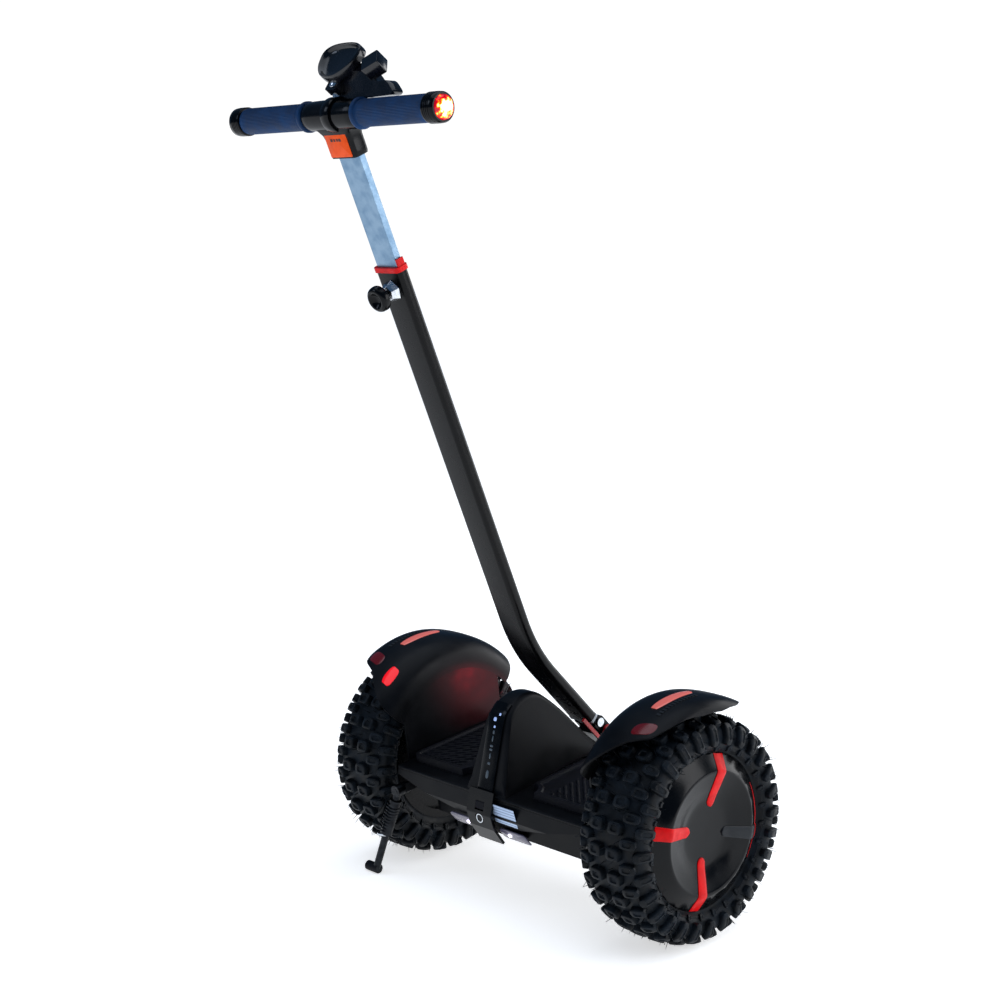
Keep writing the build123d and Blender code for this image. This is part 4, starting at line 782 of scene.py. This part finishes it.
piece("end_lamps", [(turned(lens, about(head, side * X, Z), 48), False, True) for side in (-1, 1)],
      lamp, "pole_top", ["end_lenses"])

# %% [markdown]
# The phone holder tilts on a bright ball. Its plate is a spoon: a rounded outline, a raised gloss
# rim and a sunk middle, worked out as rings that grow out to the rim and shrink in again while the
# height follows a small profile. The jaw on its right slides.
# %% Phone holder
def spoon_outline(t):
    """Egg outline: wide and round at the top, narrow at the foot."""
    x, v = np.cos(t), np.sin(t)
    half = 31 + 9.5 * v
    return np.stack([half * np.sign(x) * np.abs(x) ** 0.8, 23 + 24 * np.sign(v) * np.abs(v) ** 0.8], 1)


t = np.linspace(0, 2 * np.pi, 72, endpoint=False)
outline = spoon_outline(t)
middle = np.array([0, 26.0])
bowl = [(0.0, 5.2), (0.93, 5.2), (0.985, 6.2), (1.0, 8), (1.0, 14), (0.99, 16.2), (0.965, 17.0),
        (0.93, 16.6), (0.89, 15.2),
        (0.85, 12.8), (0.8, 11.6), (0.55, 11.0), (0.0, 11.0)]
rings = np.stack([np.concatenate([middle + k * (outline - middle), np.full((72, 1), h)], 1) for k, h in bowl])
back_block = np.stack([np.concatenate([rounded(w, w, 3, 4), np.full((16, 1), h)], 1)
                       for w, h in ((18, -4.5), (19, -3.5), (19, 6))])
holder = finish("polished_black_nylon", "#07080c", (0.14, 0.25), "#0b0d16", grain=2.0, depth=0.01)
piece("phone_spoon", [(plate(rings), False, True), (closed_ends(plate(back_block)), False, True)], holder,
      "phone_holder", ["phone_plate"])


def box(width, depth, start, end, radius, carry, shift=(0, 0), turn=0.0):
    """Rounded block: its outline, turned in its own plane, at four levels, eased at both ends."""
    levels = ((0.8, start), (0, start + 0.8), (0, end - 0.8), (0.8, end))
    spin = np.array([(cos(turn), sin(turn)), (-sin(turn), cos(turn))])
    rings = np.stack([np.concatenate([rounded(width - c, depth - c, radius, 4) @ spin + shift,
                                      np.full((16, 1), h)], 1) for c, h in levels])
    return (closed_ends(carry(rings)), False, True)


jaw = [box(22, 20, -1, 17, 1.5, plate, (61, 17), 0.55), box(58, 12, 2.4, 5.6, 1.2, plate, (32, 19))]
piece("jaw_block", jaw, holder, "phone_jaw", ["phone_jaw"])


def slab(outline, start, end, carry, ease=1.0):
    """Block with a drawn outline: four levels of it, the end ones pulled in towards its middle."""
    outline = smooth(np.concatenate([outline, outline[:1]]), 60)[:-1]
    middle = outline.mean(0)
    pull = 1 - ease / np.linalg.norm(outline - middle, axis=1, keepdims=True)
    rings = [np.insert(middle + (pull if eased else 1) * (outline - middle), 1, h, axis=1)
             for eased, h in ((True, start), (False, start + ease), (False, end - ease), (True, end))]
    return (closed_ends(carry(np.stack(rings))), False, True)


body_outline = np.array([(6, 17), (5, 30), (8, 42), (20, 47), (44, 45), (60, 41), (66, 36), (71, 32.5),
                         (84, 33), (92, 27),
                         (95, 18), (60, 16.4), (30, 16.2)], float)
piece("holder_body", [slab(body_outline, 2, 17, bar)], holder, "pole_top")
band = [(-7, 16.4), (-7, 19.2), (-6.4, 19.6), (6.4, 19.6), (7, 19.2), (7, 16.4)]
ball_curve = np.stack([8.4 * np.sin(np.linspace(-1.5, 1.5708, 20)),
                       8.4 * np.cos(np.linspace(-1.5, 1.5708, 20))], 1)
stalk = np.concatenate([[(-14.5, 0), (-14.5, 5), (-7.0, 4.6)], ball_curve[3:-1], [(8.4, 0)]])
piece("holder_stalk", [(turned(stalk, about(ball, Z, X), 40), False, True)], bright_zinc, "pole_top",
      ["phone_clamp"])
piece("holder_band", [(turned(band, about(head + 4 * X, X, Y), 64), True, True)], gloss_abs, "pole_top")

# %% [markdown]
# Small things at the back: a ruled label with nothing on it, the button's ring, and two curved lamp
# covers, each with a white lamp standing on it.
# %% Rear details
label = finish("blank_vinyl_label", "#b4c8e4", (0.4, 0.5), "#a9bedc", patch=6.0, grain=0.8, depth=0.005)
tree = label.node_tree
where = next(n for n in tree.nodes if n.type == "TEX_COORD")
rows = add(tree, "TexWave", {"Vector": (where, "Object"), "Scale": 0.314 * per_mm(3.8)}, bands_direction="Z")
rule = add(tree, "MapRange", {"Value": (rows, 1), "From Min": 0.1, "From Max": 0.3})
ruled = add(tree, "Mix", {0: (rule, 0)}, data_type="RGBA")
ruled.inputs[6].default_value, ruled.inputs[7].default_value = linear("#7f93b3"), linear("#b9cdea")
tree.links.new(ruled.outputs[2],
               next(n for n in tree.nodes if n.type == "BSDF_PRINCIPLED").inputs["Base Color"])
label_at = frame_at(board((38.5, -115.2, 7.0)), X, unit(-sin(pitch) - 0.2, cos(pitch)),
                    unit(-cos(pitch), -sin(pitch)))
piece("parts_label", [flat_tile(40, 25, 0.5, 0.6, label_at)], label, "chassis")

skin_line = smooth([(-115.2, 4), (-113.6, -8), (-109.0, -20), (-101.0, -30), (-88.0, -38)], 30)


def on_rear(x, t, lift):
    """Point on the lower shell's rear: t runs down its curve, lift stands off behind it."""
    y, z = (np.interp(t, np.linspace(0, 1, 30), v) for v in skin_line.T)
    ty, tz = (np.interp(t, np.linspace(0, 1, 30), np.gradient(v)) for v in skin_line.T)
    size = np.hypot(ty, tz)
    return board(stack(x, y + lift * tz / size, z - lift * ty / size))


def lamp_panel(side):
    """Curved lamp cover: a rounded outline on the skin, at three levels."""
    levels = ((1.0, -0.6), (1.0, 0.9), (0.93, 1.5))
    ring = rounded(48, 20, 5.5, 6)
    rings = [on_rear(side * 46 + k * ring[:, 0], 0.53 + k * ring[:, 1] / 52, h) for k, h in levels]
    return (closed_ends(np.stack(rings)), False, True)


clear_cover = finish("clear_polycarbonate", "#5f5b6c", (0.1, 0.18), "#4b4860", patch=12.0, grain=3.0,
                     depth=0.01)
piece("lamp_covers", [lamp_panel(side) for side in (-1, 1)], clear_cover, "chassis",
      ["headlight_lenses"])
lamp_white = glowing("white_led_lens", "#f4f0ff", "#f2ecff", 4.0)
dots = []
for x in (-38.0, 38.0):
    spot = on_rear(x, 0.5, 1.2)
    dots.append((turned([(0, 0), (0, 2.9), (0.9, 2.5), (1.3, 0)],
                        about(spot, on_rear(x, 0.5, 2.2) - spot, X), 24),
                 False, True))
piece("white_lamps", dots, lamp_white, "chassis")
ring_face = [(0.0, 4.6), (0.8, 4.8), (1.0, 5.4), (0.8, 6.0), (0.0, 6.2)]
piece("button_ring",
      [(turned(ring_face, about(board((0, -122.5, -2.5)), unit(-cos(pitch), -sin(pitch)), X), 40), True,
        True)],
      bright_zinc, "power_button")

# %% [markdown]
# The kickstand keeps its working shape. Added to it are a return spring wound round the sleeve, which
# is a circle carried along a helix, and a washer beyond the spring.
# %% Kickstand fittings
leg_low = board((-160.0, -121.2, -4.0))
foot_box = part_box("kickstand_foot")
foot_middle = np.array((foot_box[0] + foot_box[1]) / 2) * 1000
stand_way = foot_middle - leg_low
stand_long = np.linalg.norm(stand_way)
stand_way = stand_way / stand_long
side_way = np.cross(stand_way, X)
side_way /= np.linalg.norm(side_way)
turns = np.linspace(0, 2 * np.pi * 9, 260)
coil_at = leg_low + np.linspace(0.17, 0.5, 260)[:, None] * stand_long * stand_way
coil_out = np.cos(turns)[:, None] * side_way + np.sin(turns)[:, None] * np.cross(stand_way, side_way)
ring = np.linspace(0, 2 * np.pi, 7)[:-1]
coil = ((coil_at + 9.0 * coil_out)[:, None] + 1.1 * np.cos(ring)[None, :, None] * coil_out[:, None]
        + 1.1 * np.sin(ring)[None, :, None] * stand_way)
piece("stand_spring", [(closed_ends(coil), False, True)], dark_steel, "kickstand")
washer = [(-1.2, 5.4), (-1.2, 9.6), (-0.6, 10.2), (1.0, 10.2), (1.6, 9.6), (1.6, 5.4)]
piece("stand_washer",
      [(turned(washer, about(leg_low + 0.56 * stand_long * stand_way, stand_way, X), 36), True, True)],
      bright_zinc, "kickstand")

# %% [markdown]
# What is left of the working model keeps its own shape and only needs its finish: castings,
# fasteners, the kickstand, the shells and the parts inside.
# %% Finishes for the working parts
cast_metal = finish("sand_cast_aluminium", "#8d9196", (0.45, 0.6), "#7c8085", patch=12.0, grain=1.2,
                    depth=0.08,
                    Metallic=1.0)
bronze = finish("sintered_bronze", "#9a7242", (0.4, 0.5), patch=5.0, grain=0.6, depth=0.03, Metallic=1.0)
shrink_wrap = finish("blue_shrink_wrap", "#12355e", (0.25, 0.4), patch=30.0, grain=6.0, depth=0.1)
board_resin = finish("green_board_resin", "#0d4a2a", (0.3, 0.4), patch=8.0, grain=2.0, depth=0.02)
magnet = finish("nickel_plated_magnet", "#b6b3a8", (0.2, 0.35), patch=10.0, grain=0.8, depth=0.01,
                Metallic=1.0)
laminated = finish("laminated_core_steel", "#6f7276", (0.4, 0.5), grain=0.5, depth=0.05, stretch=(9, 1, 1),
                   Metallic=1.0)
latch_red = finish("red_powder_coat", "#b80a14", (0.25, 0.35), "#98060e", grain=0.8, depth=0.02)
smoke_lens = finish("smoked_polycarbonate", "#6d6a7c", (0.12, 0.2), "#57546a", patch=10.0, grain=2.0,
                    depth=0.01)
by_slot = {
    "rim_paint": pole_paint, "magnet_steel": magnet, "bearing_steel": bright_zinc, "cap_plastic": gloss_abs,
    "axle_steel": bright_zinc, "stator_steel": laminated, "cast_aluminium": cast_metal, "bush_bronze": bronze,
    "battery_wrap": shrink_wrap, "board_resin": board_resin, "shell_plastic": black_abs,
    "lamp_lens": smoke_lens,
    "strip_plastic": gloss_abs, "button_plastic": gloss_abs, "seal_rubber": pad_rubber,
    "socket_plastic": black_abs, "stand_steel": dark_steel, "base_paint": pole_paint,
    "latch_paint": latch_red,
    "pole_paint": pole_paint, "collar_plastic": red_plastic, "tube_aluminium": tube_metal,
    "bar_aluminium": tube_metal,
}
slots = {row["node"]: row["material_slot"] for row in frame["record"]["subparts"]}
for name, node in frame["nodes"].items():
    if not node.hide_render:
        node.data.materials.clear()
        node.data.materials.append(by_slot[slots[name]])
shown = sorted(name for name, node in frame["nodes"].items() if not node.hide_render)
print("kept from the working model:", ", ".join(shown))
